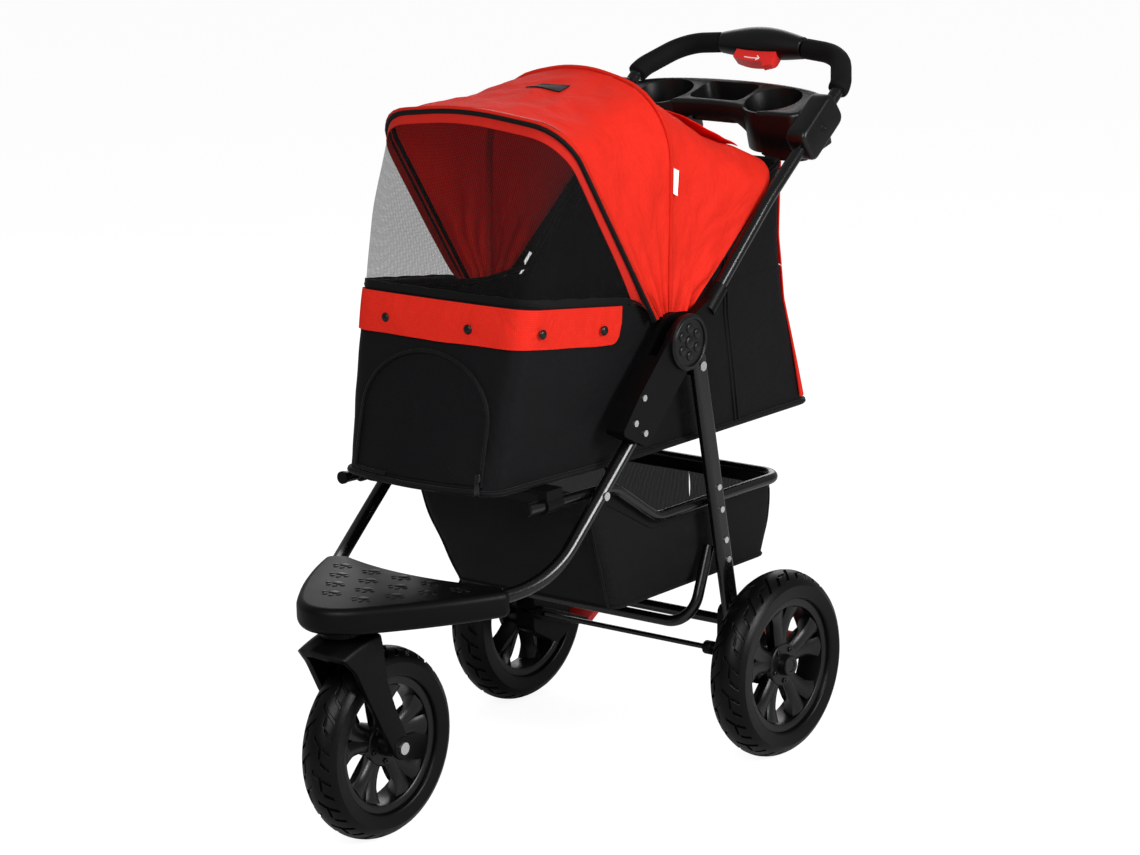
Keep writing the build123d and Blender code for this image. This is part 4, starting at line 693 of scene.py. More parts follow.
def rim_zip_place(u, v):
    width = 0.011 + 0.002 * ripple((u * 30.0, 0, 0), 1.0, 3.0)
    return window_at(u, -0.0001 - width * v) + Vector((0, -0.002, 0))


def hoop_piping(name, angle, row, wider, taller, forward, radius, finish, slot):
    """Piping that runs beside a hoop: its arch, scaled a little and moved off its plane."""
    path = [turned(angle, p.x * wider, p.y * taller, forward) for p in row]
    dress(piping(name, path, radius), "front_hoop" if angle == FRONT else "mid_hoop", finish, slot)


hoop_piping("hood_zip", FRONT, front_arch, 0.995, 0.996, 0.0095, 0.0036, black_tape, "black_cloth")
binding, area = tape("window_binding", 140, binding_place, 0.012, 0.9)
dress(binding, "front_hoop", red_lining, "red_cloth")
cut_from(binding, (0.92, 0.012), area)
rim_zip, area = tape("rim_zip", 140, rim_zip_place, 0.018, 0.78)
dress(rim_zip, "front_hoop", black_tape, "black_cloth")
cut_from(rim_zip, (0.80, 0.018), area)
hoop_piping("visor_edge", FRONT, front_arch, 1.004, 1.002, 0.0055, 0.0030, red_oxford, "red_cloth")
hoop_piping("middle_seam", MIDDLE, middle_arch, 1.010, 1.007, -0.0040, 0.0030, red_oxford, "red_cloth")
sleeve_arch = arch(0.046, 0.1582, 0.330, 0.368, 0.112, 0.24)
hoop_piping("middle_sleeve", MIDDLE, sleeve_arch, 1.0, 1.0, 0.0, 0.0044, red_oxford, "red_cloth")
# The net, its binding and the rim zip each get their own copy of their mesh.
for piece in (window, binding, rim_zip):
    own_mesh(piece)

# %% [markdown]
# ## Small things on the hood
# A black cloth tab is sewn on top, where a rolled-up window would be tied. A vent flap lies over the rear
# panel with its edges lifted, a bare white tag is caught in the middle seam, and a black gusset closes the
# slit between the hood's rear edge and the tub. Each is a small grid laid on the panel it belongs to.


# %% Tab, flap, tag and gusset
def lift_off(place, u, v, height):
    """A point of a panel moved outwards along its normal."""
    here = place(u, v)
    normal = (place(u + 0.01, v) - here).cross(place(u, v + 0.02) - here).normalized()
    return here + (normal if normal.dot(here - HINGE) > 0 else -normal) * height


# Corners of the tab, as shares across and along the front panel.
TAB = ((0.518, 0.615), (0.452, 0.615), (0.512, 0.745), (0.458, 0.745))


def tab_place(u, v):
    a, b, c, d = (Vector(spot) for spot in TAB)
    spot = a.lerp(b, u).lerp(c.lerp(d, u), v)
    return lift_off(front_place, spot.x, spot.y, 0.0022)


def flap_place(u, v):
    edge = abs(2 * u - 1)
    lift = 0.0030 + 0.0100 * edge ** 4 * math.sin(math.pi * min(1.0, 0.25 + 0.75 * v))
    lift += 0.0015 * ripple((u * 5.0, v * 4.0, 0), 1.0, 21.0)
    return lift_off(rear_place, 0.365 + 0.27 * u, 0.40 + 0.44 * v, lift)


def tag_place(u, v):
    return lift_off(rear_place, 0.236 - 0.042 * v, 0.034 + 0.050 * u, 0.0024 + 0.0030 * u)


for name, counts, place, size, finish, slot, span, under in (
    ("hood_tab", (8, 8), tab_place, (0.050, 0.036), black_oxford, "black_cloth", FRONT_SPAN, "hood_front_panel"),
    ("vent_flap", (40, 16), flap_place, (0.25, 0.11), red_oxford, "red_cloth", REAR_SPAN, "hood_rear_panel"),
    ("bare_tag", (6, 10), tag_place, (0.012, 0.038), white_print, "black_cloth", REAR_SPAN, "hood_rear_panel"),
):
    piece = cloth_grid(name, *counts, place, size)
    area = face_area(piece)
    apply(piece, "SOLIDIFY", thickness=0.0012, offset=0.0)
    dress(piece, None, finish, slot, 50)
    fan(piece, *span)
    cut_from(piece, size, area)


# %% Gusset
def gusset_place(u, v):
    edge = at(rear_line, 0.09 + 0.82 * u)
    foot = Vector((min(max(edge.x, -0.150), 0.150), edge.y + 0.004, edge.z - 0.016))
    return edge.lerp(foot, v) + Vector((0, 0, -0.002))


gusset, area = tape("rear_gusset", 90, gusset_place, 0.028, 0.76)
dress(gusset, "chassis", black_oxford, "black_cloth")
cut_from(gusset, (0.78, 0.030), area)

# %% [markdown]
# ## Tub
# The cabin is a sewn tub of black oxford cloth with a stiff floor. Its plan changes with height: the nose
# narrows and pushes forward towards the floor. The wall is a strip round that plan, from the floor to the
# rim, and the tall back is a strip of its own because it collapses when the frame folds.

# %% Plan of the tub at a height
# Each level is a height, the front wall's place, its half width, the back wall's place and the nose's bulge.
LEVELS = ((0.475, -0.301, 0.133, 0.408, 0.022), (0.640, -0.263, 0.147, 0.356, 0.012),
          (0.735, -0.240, 0.154, 0.345, 0.004), (0.850, -0.214, 0.154, 0.352, 0.002))
WIDE = 0.1543  # half the width of the cabin
FLOOR = 0.475
SPLIT = 0.690  # the height where the back starts to collapse in the fold
PLAN = 240  # stations round the plan
LAYER = 0.005  # height between two plans that are worked out


def level_at(z):
    """The values of the levels at any height."""
    for low, high in zip(LEVELS, LEVELS[1:]):
        if z <= high[0]:
            t = (z - low[0]) / (high[0] - low[0])
            return [a + (b - a) * t for a, b in zip(low, high)]
    return LEVELS[-1]


def plan_at(z):
    """Stations round the tub at a height, from the middle of the back by the left side to the front and on."""
    _, front, half, rear, bulge = level_at(z)
    side = ((0, rear), (WIDE, rear), (WIDE, -0.02), (half, front), (half * 0.5, front - bulge * 0.75),
            (0, front - bulge))
    points = side + tuple((-x, y) for x, y in reversed(side[:-1]))
    return stations(rounded(points, (0.026, 0.25, 0.026, 0.3, 0.3, 0.3, 0.026, 0.25, 0.026)), PLAN)


plans = [plan_at(FLOOR + LAYER * i) for i in range(76)]


def tub_at(s, z, out=0.0):
    """A point on the tub's wall at a share round the plan and a height, moved outwards."""
    row = min(max((z - FLOOR) / LAYER, 0.0), len(plans) - 1.001)
    low = int(row)
    here = at(plans[low], s).lerp(at(plans[low + 1], s), row - low)
    ahead = at(plans[low], min(s + 0.004, 1.0))
    behind = at(plans[low], max(s - 0.004, 0.0))
    run = (ahead - behind).normalized()
    normal = Vector((run.y, -run.x))
    if normal.dot(here - Vector((0, 0.05))) < 0:
        normal = -normal
    return Vector((here.x + normal.x * out, here.y + normal.y * out, z))


def wall_top(s):
    """Height of the top edge at a share round the plan."""
    z = 0.70
    for _ in range(6):
        z = height_on(RIM, tub_at(s, z).y)
    return z


tops = [wall_top(i / PLAN) for i in range(PLAN + 1)]


def top_at(s):
    """Height of the top edge, between the stations too."""
    spot = min(max(s, 0.0), 1.0) * PLAN
    low = min(int(spot), PLAN - 1)
    return tops[low] + (tops[low + 1] - tops[low]) * (spot - low)


def slack(s, z, seed):
    """Soft creases of a cloth wall: broad ones and finer ones on them."""
    broad = 0.0030 * ripple((s * 9.0, z * 7.0, 0), 1.0, seed)
    return broad + 0.0012 * ripple((s * 26.0, z * 22.0, 0), 1.0, seed + 2)


def lower_wall(u, v):
    """The wall from the floor to the rim, or to the split along the back."""
    z = FLOOR + v * (min(top_at(u), SPLIT if tub_at(u, SPLIT).y > 0.06 else 9.0) - FLOOR)
    return tub_at(u, z, slack(u, z, 2.0) * math.sin(math.pi * min(v, 1.0)))


back_end = next(i for i in range(PLAN) if tub_at(i / PLAN, SPLIT).y < 0.128) / PLAN
print("rim from", round(min(tops), 3), "to", round(max(tops), 3), "metres high")


def upper_wall(u, v):
    """The back above the split."""
    s = (2 * u - 1) * back_end
    s = s if s >= 0 else 1 + s
    z = SPLIT + v * max(top_at(s) - SPLIT, 0.0004)
    return tub_at(s, z, slack(s, z, 4.0) * math.sin(math.pi * min(v, 1.0)) - 0.0005)


# %% Tub wall
tub = cloth_grid("tub_wall", PLAN, 24, lower_wall, (1.72, 0.24))
outward(tub)
area = face_area(tub)
apply(tub, "SOLIDIFY", thickness=0.0022, offset=-1.0)


# %% Door, cut out of the front wall
def arch_point(share, half, foot, spring, top):
    """A point of the door's outline: up the left side, round the arch, down the right side, along the foot."""
    line = [Vector((half, foot)), Vector((half, spring))]
    for k in range(1, 24):
        a = math.pi * k / 24
        line.append(Vector((half * math.cos(a), spring + (top - spring) * math.sin(a))))
    line += [Vector((-half, spring)), Vector((-half, foot)), Vector((half, foot))]
    return at(stations(line, 240), share)


def arch_cutter(name, half, foot, spring, top):
    """A prism with the outline of the arched door, long enough to pass through the front wall."""
    nothing_selected()
    bpy.ops.mesh.primitive_circle_add(vertices=40, radius=1, fill_type="NGON", rotation=(math.pi / 2, 0, 0))
    piece = named(name)
    settle()
    for k, vertex in enumerate(piece.data.vertices):
        spot = arch_point(k / 40, half, foot, spring, top)
        vertex.co = (spot.x, -0.42, spot.y)
    edit_all(piece)
    bpy.ops.mesh.extrude_region_move(TRANSFORM_OT_translate={"value": (0, 0.22, 0)})
    bpy.ops.object.mode_set(mode="OBJECT")
    outward(piece)
    return piece


door = tub.copy()
door.data = tub.data.copy()
bpy.context.collection.objects.link(door)
door.name = "door_panel"
opening = arch_cutter("door_opening", 0.112, 0.486, 0.566, 0.655)
apply(tub, "BOOLEAN", object=opening, operation="DIFFERENCE", solver="EXACT")
bpy.data.objects.remove(opening)
inner = arch_cutter("door_outline", 0.1108, 0.4872, 0.566, 0.6538)
apply(door, "BOOLEAN", object=inner, operation="INTERSECT", solver="EXACT")
bpy.data.objects.remove(inner)
dress(tub, "chassis", black_oxford, "black_cloth", 60)
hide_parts("tub")
cut_from(tub, (1.75, 0.26), area)
dress(door, "front_door", black_oxford, "black_cloth", 60)
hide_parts("front_door")
cut_from(door, (0.225, 0.17), 0.8 * 0.225 * 0.17)

# %% Back wall and floor
back = cloth_grid("tub_back", 150, 16, upper_wall, (0.9, 0.16))
outward(back)
area = face_area(back)
apply(back, "SOLIDIFY", thickness=0.0022, offset=-1.0)
dress(back, "chassis", black_oxford, "black_cloth", 60)
for piece in (back, gusset):
    fold_down(piece)
cut_from(back, (0.92, 0.17), area)


def reach_in(row, y, otherwise):
    """Half the width of a plan at a place along its length."""
    return max((abs(p.x) for p in row if abs(p.y - y) < 0.006), default=otherwise)


def floor_place(u, v):
    y = 0.4065 + (-0.321 - 0.4065) * v
    return Vector(((2 * u - 1) * (reach_in(plans[0][:PLAN], y, 0.13) - 0.001), y, FLOOR - 0.0005))


base = cloth_grid("tub_floor", 24, 40, floor_place, (0.3, 0.7))
apply(base, "SOLIDIFY", thickness=0.002, offset=0.0)
dress(base, "chassis", black_oxford, "black_cloth")
cut_from(base, (0.31, 0.74), 0.31 * 0.70)

# %% [markdown]
# ## Apron, snaps, piping and the red back
# A red apron is snapped round the front of the tub, under the zip. The seams at the floor, on the sides and
# round the door are piped, and the back of the cabin is red cloth that wraps its corners. It is two panels,
# because the upper one collapses when the frame folds. The apron slumps then as well, under the hood.

# %% Apron and back panel
apron_start = next(i for i in range(PLAN) if tub_at(i / PLAN, 0.70).y < -0.045) / PLAN


def round_front(u):
    """The share round the plan at a share of the apron's length, from its left end to its right end."""
    return apron_start + (1 - 2 * apron_start) * u


def apron_place(u, v):
    s = round_front(u)
    end = min(1.0, min(u, 1 - u) / 0.028)
    depth = 0.024 + 0.029 * math.sqrt(1 - (1 - end) ** 2) + 0.0022 * ripple((s * 24.0, 0, 0), 1.0, 15.0)
    z = top_at(s) - 0.002 - depth * v
    puff = 0.0045 * math.sin(math.pi * v) * (0.7 + 0.6 * ripple((s * 13.0, 0, 0), 1.0, 9.0))
    wave = 0.0030 * ripple((s * 34.0, v * 1.5, 0), 1.0, 9.0) * v
    free = min(max((0.150 - abs(tub_at(s, z).x)) / 0.030, 0.0), 1.0)
    return tub_at(s, z, 0.0022 + free * (0.0013 + puff + wave))


apron = cloth_grid("red_apron", 150, 10, apron_place, (0.80, 0.054))
outward(apron)
area = face_area(apron)
apply(apron, "SOLIDIFY", thickness=0.0018, offset=0.0)
dress(apron, "chassis", red_oxford, "red_cloth", 60)
cut_from(apron, (0.82, 0.056), area)
fold_down(apron)


def back_place(low, high):
    """The place function of a red back panel between two heights."""
    def place(u, v):
        s = (2 * u - 1) * 0.086
        s = s if s >= 0 else 1 + s
        z = low + (min(high, top_at(s)) - low) * v
        return tub_at(s, z, 0.0035 + 0.6 * slack(s, z, 6.0) * math.sin(math.pi * v))
    return place


for name, low, high in (("back_panel_lower", 0.487, SPLIT - 0.002), ("back_panel_upper", SPLIT, 0.846)):
    piece = cloth_grid(name, 60, 16, back_place(low, high), (0.37, high - low))
    outward(piece)
    area = face_area(piece)
    apply(piece, "SOLIDIFY", thickness=0.0018, offset=0.0)
    dress(piece, "chassis", red_oxford, "red_cloth", 60)
    if low == SPLIT:
        fold_down(piece)
    cut_from(piece, (0.41, high - low + 0.02), area)

# %% Seams of the tub
foot_line = [tub_at(i / PLAN, FLOOR + 0.003, 0.0015) for i in range(PLAN)]
foot_seam = piping("floor_piping", foot_line, 0.0042, closed=True)
dress(foot_seam, "chassis", black_tape, "black_cloth")


def tub_front(x, z, out=0.0):
    """The point of the front wall at a given x and height, moved outwards."""
    s = min((k / 480 for k in range(150, 331)), key=lambda t: abs(tub_at(t, z).x - x))
    spot = tub_at(s, z, out)
    return Vector((x, spot.y, z))


def side_share(y, side):
    """The share round the plan where one side wall is at a place along the length."""
    def miss(share):
        spot = tub_at(share, 0.55)
        return abs(spot.y - y) + (1.0 if spot.x * side < 0 else 0.0)
    return min((k / 480 for k in range(481)), key=miss)


for word, side in (("left", 1), ("right", -1)):
    s = side_share(0.215, side)
    for part, low, high in (("side_seam_", FLOOR + 0.006, SPLIT), ("back_seam_", SPLIT, top_at(s) - 0.004)):
        heights = [low + (high - low) * k / 20 for k in range(21)]
        lines = [[tub_at(s + shift, z, 0.0014) for z in heights] for shift in (0.0, 0.0045)]
        seam = together(part + word, [piping("seam", line, 0.0016) for line in lines])
        dress(seam, "chassis", black_tape, "black_cloth")
        if low == SPLIT:
            fold_down(seam)


# %% Rim roll and door zip
def roll_at(s):
    """The soft roll of cloth along the rim, round the front."""
    return tub_at(s, top_at(s) + 0.003, -0.0035 + 0.0012 * ripple((s * 40.0, 0, 0), 1.0, 31.0))


rim_roll = piping("rim_roll", [roll_at(round_front(k / 140)) for k in range(141)], 0.0052)
dress(rim_roll, "chassis", black_oxford, "black_cloth")

door_line = [arch_point(0.775 * k / 80, 0.1114, 0.486, 0.566, 0.6544) for k in range(81)]
door_zip = piping("door_zip", [tub_front(p.x, p.y, 0.0016) for p in door_line], 0.0028)
dress(door_zip, "chassis", black_tape, "black_cloth")


# %% Piping on the back rim
def rear_rim(low, high, count=70):
    """The rim between two shares round the plan."""
    shares = [low + (high - low) * i / count for i in range(count + 1)]
    return [tub_at(s, min(top_at(s), 0.8445), -0.001) for s in shares]


rear_path = rear_rim(1.01 - apron_start, 1.0) + rear_rim(0.0, apron_start - 0.01)[1:]
high_part = [p for p in rear_path if p.z > SPLIT - 0.002]
rim_pipe = piping("back_rim_piping", high_part, 0.0034)
dress(rim_pipe, "chassis", black_tape, "black_cloth")
fold_down(rim_pipe)

# %% Snaps on the apron
snaps = []
for s in (0.328, 0.403, 0.465, 0.548, 0.597, 0.672):
    spot = tub_at(s, top_at(s) - 0.034, 0.0075)
    facing = (tub_at(s, top_at(s) - 0.034, 0.02) - spot).normalized()
    nothing_selected()
    bpy.ops.mesh.primitive_uv_sphere_add(segments=20, ring_count=10, radius=0.0068, location=spot)
    button = named("snap")
    button.scale = (1, 1, 0.42)
    button.rotation_euler = facing.to_track_quat("Z", "Y").to_euler()
    settle()
    snaps.append(button)
snap_row = together("apron_snaps", snaps)
dress(snap_row, "chassis", moulded_abs, "black_abs")
# The studs get their own copy of their mesh, as the apron does.
fold_down(snap_row)

# %% [markdown]
# ## Wheels
# The tyres are moulded EVA foam with a road tread. A grid is wrapped into a ring; its rows and columns are
# spaced so that some of them are groove wide, and its rows are slanted. The grooves are then just faces,
# pushed inwards. The rims are mouldings: a turned barrel and hub with five split spokes between them.

# %% Tyres
# Columns of the tread from the middle to the shoulder in metres, repeats round the tyre, and rows in a repeat.
TREAD = (0.0, 0.0020, 0.0075, 0.0110, 0.0140, 0.0175, 0.0205, 0.0245)
PITCHES = 18
ROWS = (0.0, 0.13, 0.34, 0.5, 0.63, 0.84)
GROOVE = 0.0036
FRONT_AXLE = (0.0, -0.405, 0.134)
# Each wheel is its pieces' name, its centre, the radii of tyre and rim, half the hub and the side it faces.
WHEELS = (
    ("front_%s", FRONT_AXLE, 0.134, 0.095, 0.032, 1),
    ("rear_%s_left", (0.241, 0.195, 0.137), 0.137, 0.098, 0.023, 1),
    ("rear_%s_right", (-0.241, 0.195, 0.137), 0.137, 0.098, 0.023, -1),
)


def round_axle(middle, x, r, angle):
    """The place at a radius and an angle round an axle that runs along X."""
    return middle[0] + x, middle[1] + r * math.cos(angle), middle[2] + r * math.sin(angle)


def tyre(name, middle, radius):
    """A tyre round an X axle, with a slanted groove and two stubs at every pitch on both sides."""
    crown = [(x, radius - 16 * x * x) for x in TREAD]
    side = [(0.0280, radius - 0.0145), (0.0300, radius - 0.0190), (0.0297, radius - 0.0205),
            (0.0282, radius - 0.0350), (0.0270, radius - 0.0378), (0.0225, radius - 0.0388)]
    half = crown + side
    ring = [(-x, r) for x, r in reversed(half[1:])] + half
    across = len(ring)
    ring = ring + [ring[0]]
    along = PITCHES * len(ROWS)

    def place(u, v):
        x, r = ring[min(round(u * across), across)]
        row = round(v * along)
        angle = 2 * math.pi * (row // len(ROWS) + ROWS[row % len(ROWS)]) / PITCHES
        slant = min(abs(x), TREAD[-1]) * 0.95 / radius
        return Vector(round_axle(middle, x, r, angle + slant))

    piece = cloth_grid(name, across, along, place)
    first = len(half) - 1
    uv = piece.data.uv_layers[0].data
    grooves = []
    for face in piece.data.polygons:
        u = sum(uv[i].uv.x for i in face.loop_indices) / face.loop_total
        v = sum(uv[i].uv.y for i in face.loop_indices) / face.loop_total
        column, row = int(u * across) - first, int(v * along) % len(ROWS)
        column, row = (column, row) if column >= 0 else (-1 - column, (row + 3) % len(ROWS))
        slanted = row == 0 and 1 <= column <= 6
        stub = (column == 3 and row in (1, 2)) or (row == 3 and 4 <= column <= 6)
        grooves.append(slanted or stub)
    outward(piece, 0.00001)
    edit_faces(piece, lambda centre, normal: False)
    bpy.ops.object.mode_set(mode="OBJECT")
    for face, cut in zip(piece.data.polygons, grooves):
        face.select = cut
    bpy.ops.object.mode_set(mode="EDIT")
    bpy.ops.mesh.extrude_region_shrink_fatten(TRANSFORM_OT_shrink_fatten={"value": -GROOVE})
    bpy.ops.object.mode_set(mode="OBJECT")
    outward(piece, 0.00001)
    soften(piece, 0.0005, segments=1)
    return piece


for word, middle, radius, *_ in WHEELS:
    piece = tyre(word % "tyre" + "_treaded", middle, radius)
    dress(piece, word % "wheel", eva_tyre, "eva_tyre", 30)
    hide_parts(word % "tyre")


# %% Rims
SPOKE_FOOT = 0.0185
BOLT_CIRCLE = 0.0240
# Turned forms, as lines of (along, radius) points.
BOLT_HEAD = ((0.0135, 0.0), (0.0135, 0.0040), (0.0160, 0.0040), (0.0168, 0.0032), (0.0168, 0.0018),
             (0.0155, 0.0016), (0.0155, 0.0))
HUB_CAP = ((0.0230, 0.0), (0.0230, 0.0150), (0.0262, 0.0150), (0.0276, 0.0138), (0.0276, 0.0088),
           (0.0264, 0.0080), (0.0264, 0.0))


def turning(name, profile, middle, steps, out=1):
    """A turned form: a line of (along, radius) points carried round an axle that runs along X."""
    def place(u, v):
        x, r = profile[round(u * (len(profile) - 1))]
        return Vector(round_axle(middle, out * x, r, 2 * math.pi * v))

    piece = cloth_grid(name, len(profile) - 1, steps, place)
    outward(piece)
    return piece


def spoke_leg(middle, lip, out, turn, lean):
    """One curved leg of a split spoke, from the hub to the barrel; it swells where it meets the barrel."""
    def place(u, v):
        r = SPOKE_FOOT + (lip - SPOKE_FOOT) * v
        swing = math.radians(turn + lean * (3.5 + 10.0 * v ** 1.4))
        half = 0.0068 - 0.0026 * math.sin(math.pi * v) + 0.0056 * max(0.0, v - 0.70) / 0.30
        side = 2 * u - 1
        x = out * (-0.0005 + 0.0075 * v * v - 0.0022 * side * side)
        return Vector(round_axle(middle, x, r, swing + side * half / r))

    piece = cloth_grid("leg", 4, 14, place)
    apply(piece, "SOLIDIFY", thickness=0.0260, offset=0.0)
    outward(piece)
    soften(piece, 0.0012)
    return piece


def rim(name, middle, rim_r, hub_half, out):
    """A moulded rim whose face looks to the side given by out."""
    lip = rim_r - 0.0095
    flank = ((0.0150, lip - 0.0020), (0.0200, lip - 0.0012), (0.0215, lip + 0.001), (0.0215, rim_r - 0.0002))
    barrel = tuple((-x, r) for x, r in reversed(flank)) + flank + ((-0.0215, rim_r - 0.0002),)
    hub = ((-hub_half, 0.0083), (-hub_half, 0.0215), (-0.012, 0.0235), (0.004, 0.0235), (0.0055, 0.0315),
           (0.0125, 0.0315), (0.0140, 0.0300), (0.0145, 0.0160), (hub_half, 0.0150), (hub_half, 0.0083),
           (-hub_half, 0.0083))
    pieces = [turning(name, barrel, middle, 80), turning("hub", hub, middle, 48, out)]
    for turn in range(90, 450, 72):
        for lean in (-1, 1):
            pieces.append(spoke_leg(middle, lip, out, turn, lean))
        bolt = round_axle(middle, 0, BOLT_CIRCLE, math.radians(turn + 36))
        pieces.append(turning("bolt", BOLT_HEAD, bolt, 12, out))
    return together(name, pieces)


for word, middle, _, rim_r, hub_half, out in WHEELS:
    piece = rim(word % "rim" + "_moulding", middle, rim_r, hub_half, out)
    dress(piece, word % "wheel", moulded_abs, "black_abs", 40)
    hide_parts(word % "rim")
    if middle != FRONT_AXLE:
        side = word.split("_")[-1]
        piece = turning("hub_cap_turned_" + side, HUB_CAP, middle, 40, out)
        dress(piece, word % "wheel", moulded_abs, "black_abs", 40)
        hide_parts("hub_cap_" + side)

# %% [markdown]
# ## Fork
# The front fork is one nylon moulding: a visor over the tyre that runs down into two arms, swept back to
# the axle. It is a band bent over the wheel, broad at the crown and narrow at the ends, then thickened.

# %% Fork
# The band's middle line from the crown down to one axle end, and how far it reaches ahead of it and behind it.
ARM = ((0.0, -0.478, 0.303), (0.027, -0.476, 0.302), (0.043, -0.472, 0.296), (0.0472, -0.464, 0.273),
       (0.0470, -0.450, 0.226), (0.0468, -0.430, 0.182), (0.0468, -0.411, 0.146), (0.0468, -0.405, 0.133),
       (0.0468, -0.400, 0.121))
AHEAD = (0.052, 0.050, 0.040, 0.029, 0.0205, 0.0170, 0.016, 0.0160, 0.010)
BEHIND = (0.040, 0.039, 0.036, 0.029, 0.021, 0.0175, 0.016, 0.0160, 0.010)
FORK_EYE = ((0.0372, 0.0), (0.0372, 0.0150), (0.0455, 0.0165), (0.0475, 0.0155), (0.0478, 0.0), (0.0372, 0.0))


def along_arm(values, share):
    """Value at a share of the arm, from the crown to the axle."""
    spot = share * (len(values) - 1)
    low = min(int(spot), len(values) - 2)
    t = spot - low
    here, following = values[low], values[low + 1]
    if isinstance(here, tuple):
        return Vector(here).lerp(Vector(following), t)
    return here + (following - here) * t


def fork_place(u, v):
    side = 1 if v >= 0.5 else -1
    share = abs(2 * v - 1)
    middle = along_arm(ARM, share)
    width = Vector((0, 0.915, 0.404)).lerp(Vector((0, 1, 0.05)), max(0.0, 1 - share * 2.2)).normalized()
    reach = 2 * u - 1
    spot = middle + width * (reach * along_arm(BEHIND if reach > 0 else AHEAD, share))
    dome = 0.006 * reach * reach * (1 - 0.6 * share)
    spot.z -= dome * max(0.0, 1 - share * 1.6)
    spot.x -= dome * min(1.0, share * 1.6) * 0.3
    return Vector((side * spot.x, spot.y, spot.z))


fork = cloth_grid("fork_moulding", 12, 64, fork_place)
outward(fork)
apply(fork, "SUBSURF", levels=1)
apply(fork, "SOLIDIFY", thickness=0.0095, offset=-1.0, use_even_offset=True)
soften(fork, 0.002)
eyes = [turning("fork_eye", FORK_EYE, FRONT_AXLE, 36, side) for side in (1, -1)]
fork = together("fork_moulding", [fork] + eyes)
dress(fork, "caster", moulded_nylon, "black_nylon", 50)
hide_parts("fork")

# %% [markdown]
# ## Handle
# The bar has two foam grips, a moulded cover in the middle and a red trigger under it. The grips are tubes
# of EVA foam pushed over the steel, so they follow its bends. The cover swells towards its middle.

# %% Grips
# The bar's corners on the left, from the side tube to the cover.
BAR_CORNERS = ((0.184, 0.264, 0.802), (0.184, 0.450, 0.943), (0.142, 0.512, 0.977), (0.0745, 0.5154, 0.9822))
bar_route = [Vector(p) for p in BAR_CORNERS]
grip_line = [p for p in stations(rounded(bar_route, (0.055, 0.065), 14), 220) if p.y > 0.4385]
for word, side in (("left", 1), ("right", -1)):
    path = [Vector((side * p.x, p.y, p.z)) for p in stations(grip_line, 90)]
    grip = piping("foam_grip_" + word, path, 0.0155, sides=8, soft_ends=3)
    dress(grip, "handle_frame", eva_foam, "foam", 50)
    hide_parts("grip_" + word)


# %% Bar cover and trigger
def bar_at(x):
    """The bowed middle of the bar."""
    drop = 0.00178 + x * x / 0.84 if abs(x) < 0.0385 else 0.0131 * abs(x) / 0.142
    return Vector((x, 0.5191 - 0.54 * drop, 0.988 - 0.84 * drop))


def cover_place(u, v):
    spread = 2 * v - 1
    end = min(1.0, (1 - abs(spread)) / 0.035)
    end_round = math.sqrt(max(0.0, 1 - (1 - end) ** 2))
    middle = math.cos(spread * math.pi / 2)
    swell = 0.0095 + (0.0065 + 0.0070 * middle) * end_round
    a = 2 * math.pi * u
    below = max(0.0, math.cos(a - math.radians(232)))
    reach = swell * (1 + 0.16 * below * middle)
    return bar_at(spread * 0.0755) + Vector((0, math.cos(a), math.sin(a))) * reach


cover = cloth_grid("bar_cover", 32, 60, cover_place)
outward(cover)
dress(cover, "handle_frame", moulded_abs, "black_abs", 60)
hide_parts("handle_cover")

# The trigger hangs forwards and down from the bar, and slides along that line.
down = Vector((0, -0.707, -0.707))
nothing_selected()
bpy.ops.mesh.primitive_cube_add(size=1)
trigger = named("squeeze_trigger")
trigger.scale = (0.072, 0.0190, 0.0255)
settle()
edit_all(trigger)
bpy.ops.mesh.subdivide(number_cuts=3)
bpy.ops.object.mode_set(mode="OBJECT")
for vertex in trigger.data.vertices:
    share = vertex.co.x / 0.034
    vertex.co.z += 0.0060 * share * share if vertex.co.z < 0 else 0.0
edit_faces(trigger, lambda centre, normal: normal.z < -0.6 and centre.x > 0.016)
bpy.ops.mesh.extrude_region_move(TRANSFORM_OT_translate={"value": (0.003, -0.003, -0.008)})
bpy.ops.transform.resize(value=(0.75, 0.6, 1.0))
bpy.ops.object.mode_set(mode="OBJECT")
soften(trigger, 0.0030)
apply(trigger, "SUBSURF", levels=1)
trigger.rotation_euler = (math.radians(-45), 0, 0)
trigger.location = bar_at(0) + down * 0.0310
dress(trigger, "fold_trigger", red_abs, "red_abs", 60)
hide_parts("fold_trigger")

# %% Springs and arrow of the trigger
face = bar_at(0) + down * 0.0365 + Vector((0, -0.707, 0.707)) * 0.0094
steps = [-0.015 + 0.003 * k for k in range(9)]
shaft = [face + Vector((x, 0, 0)) + down * (0.0010 - 5.0 * x * x) for x in steps]
arrow = [piping("arrow_shaft", shaft, 0.0010)]
for lean in (-1, 1):
    tip = shaft[-1] + Vector((0.003, 0, 0)) - down * 0.0004
    arrow.append(piping("arrow_barb", [tip, tip + Vector((-0.0048, 0, 0)) + down * (0.0036 * lean)], 0.0010))
springs = bpy.data.objects["trigger_springs"]
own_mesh(springs)
mark = together("trigger_arrow", arrow)
dress(mark, "fold_trigger", white_print, "red_abs", 60)

# %% [markdown]
# ## Cup tray
# The tray is one ABS moulding clamped between the side tubes. Its outline is drawn flat and carried through a
# few rings: a rounded top edge, the outer wall, and the wall's inner face. The cups and the bin are united with
# it as solid bodies and then hollowed, and a bevel softens what is still sharp.


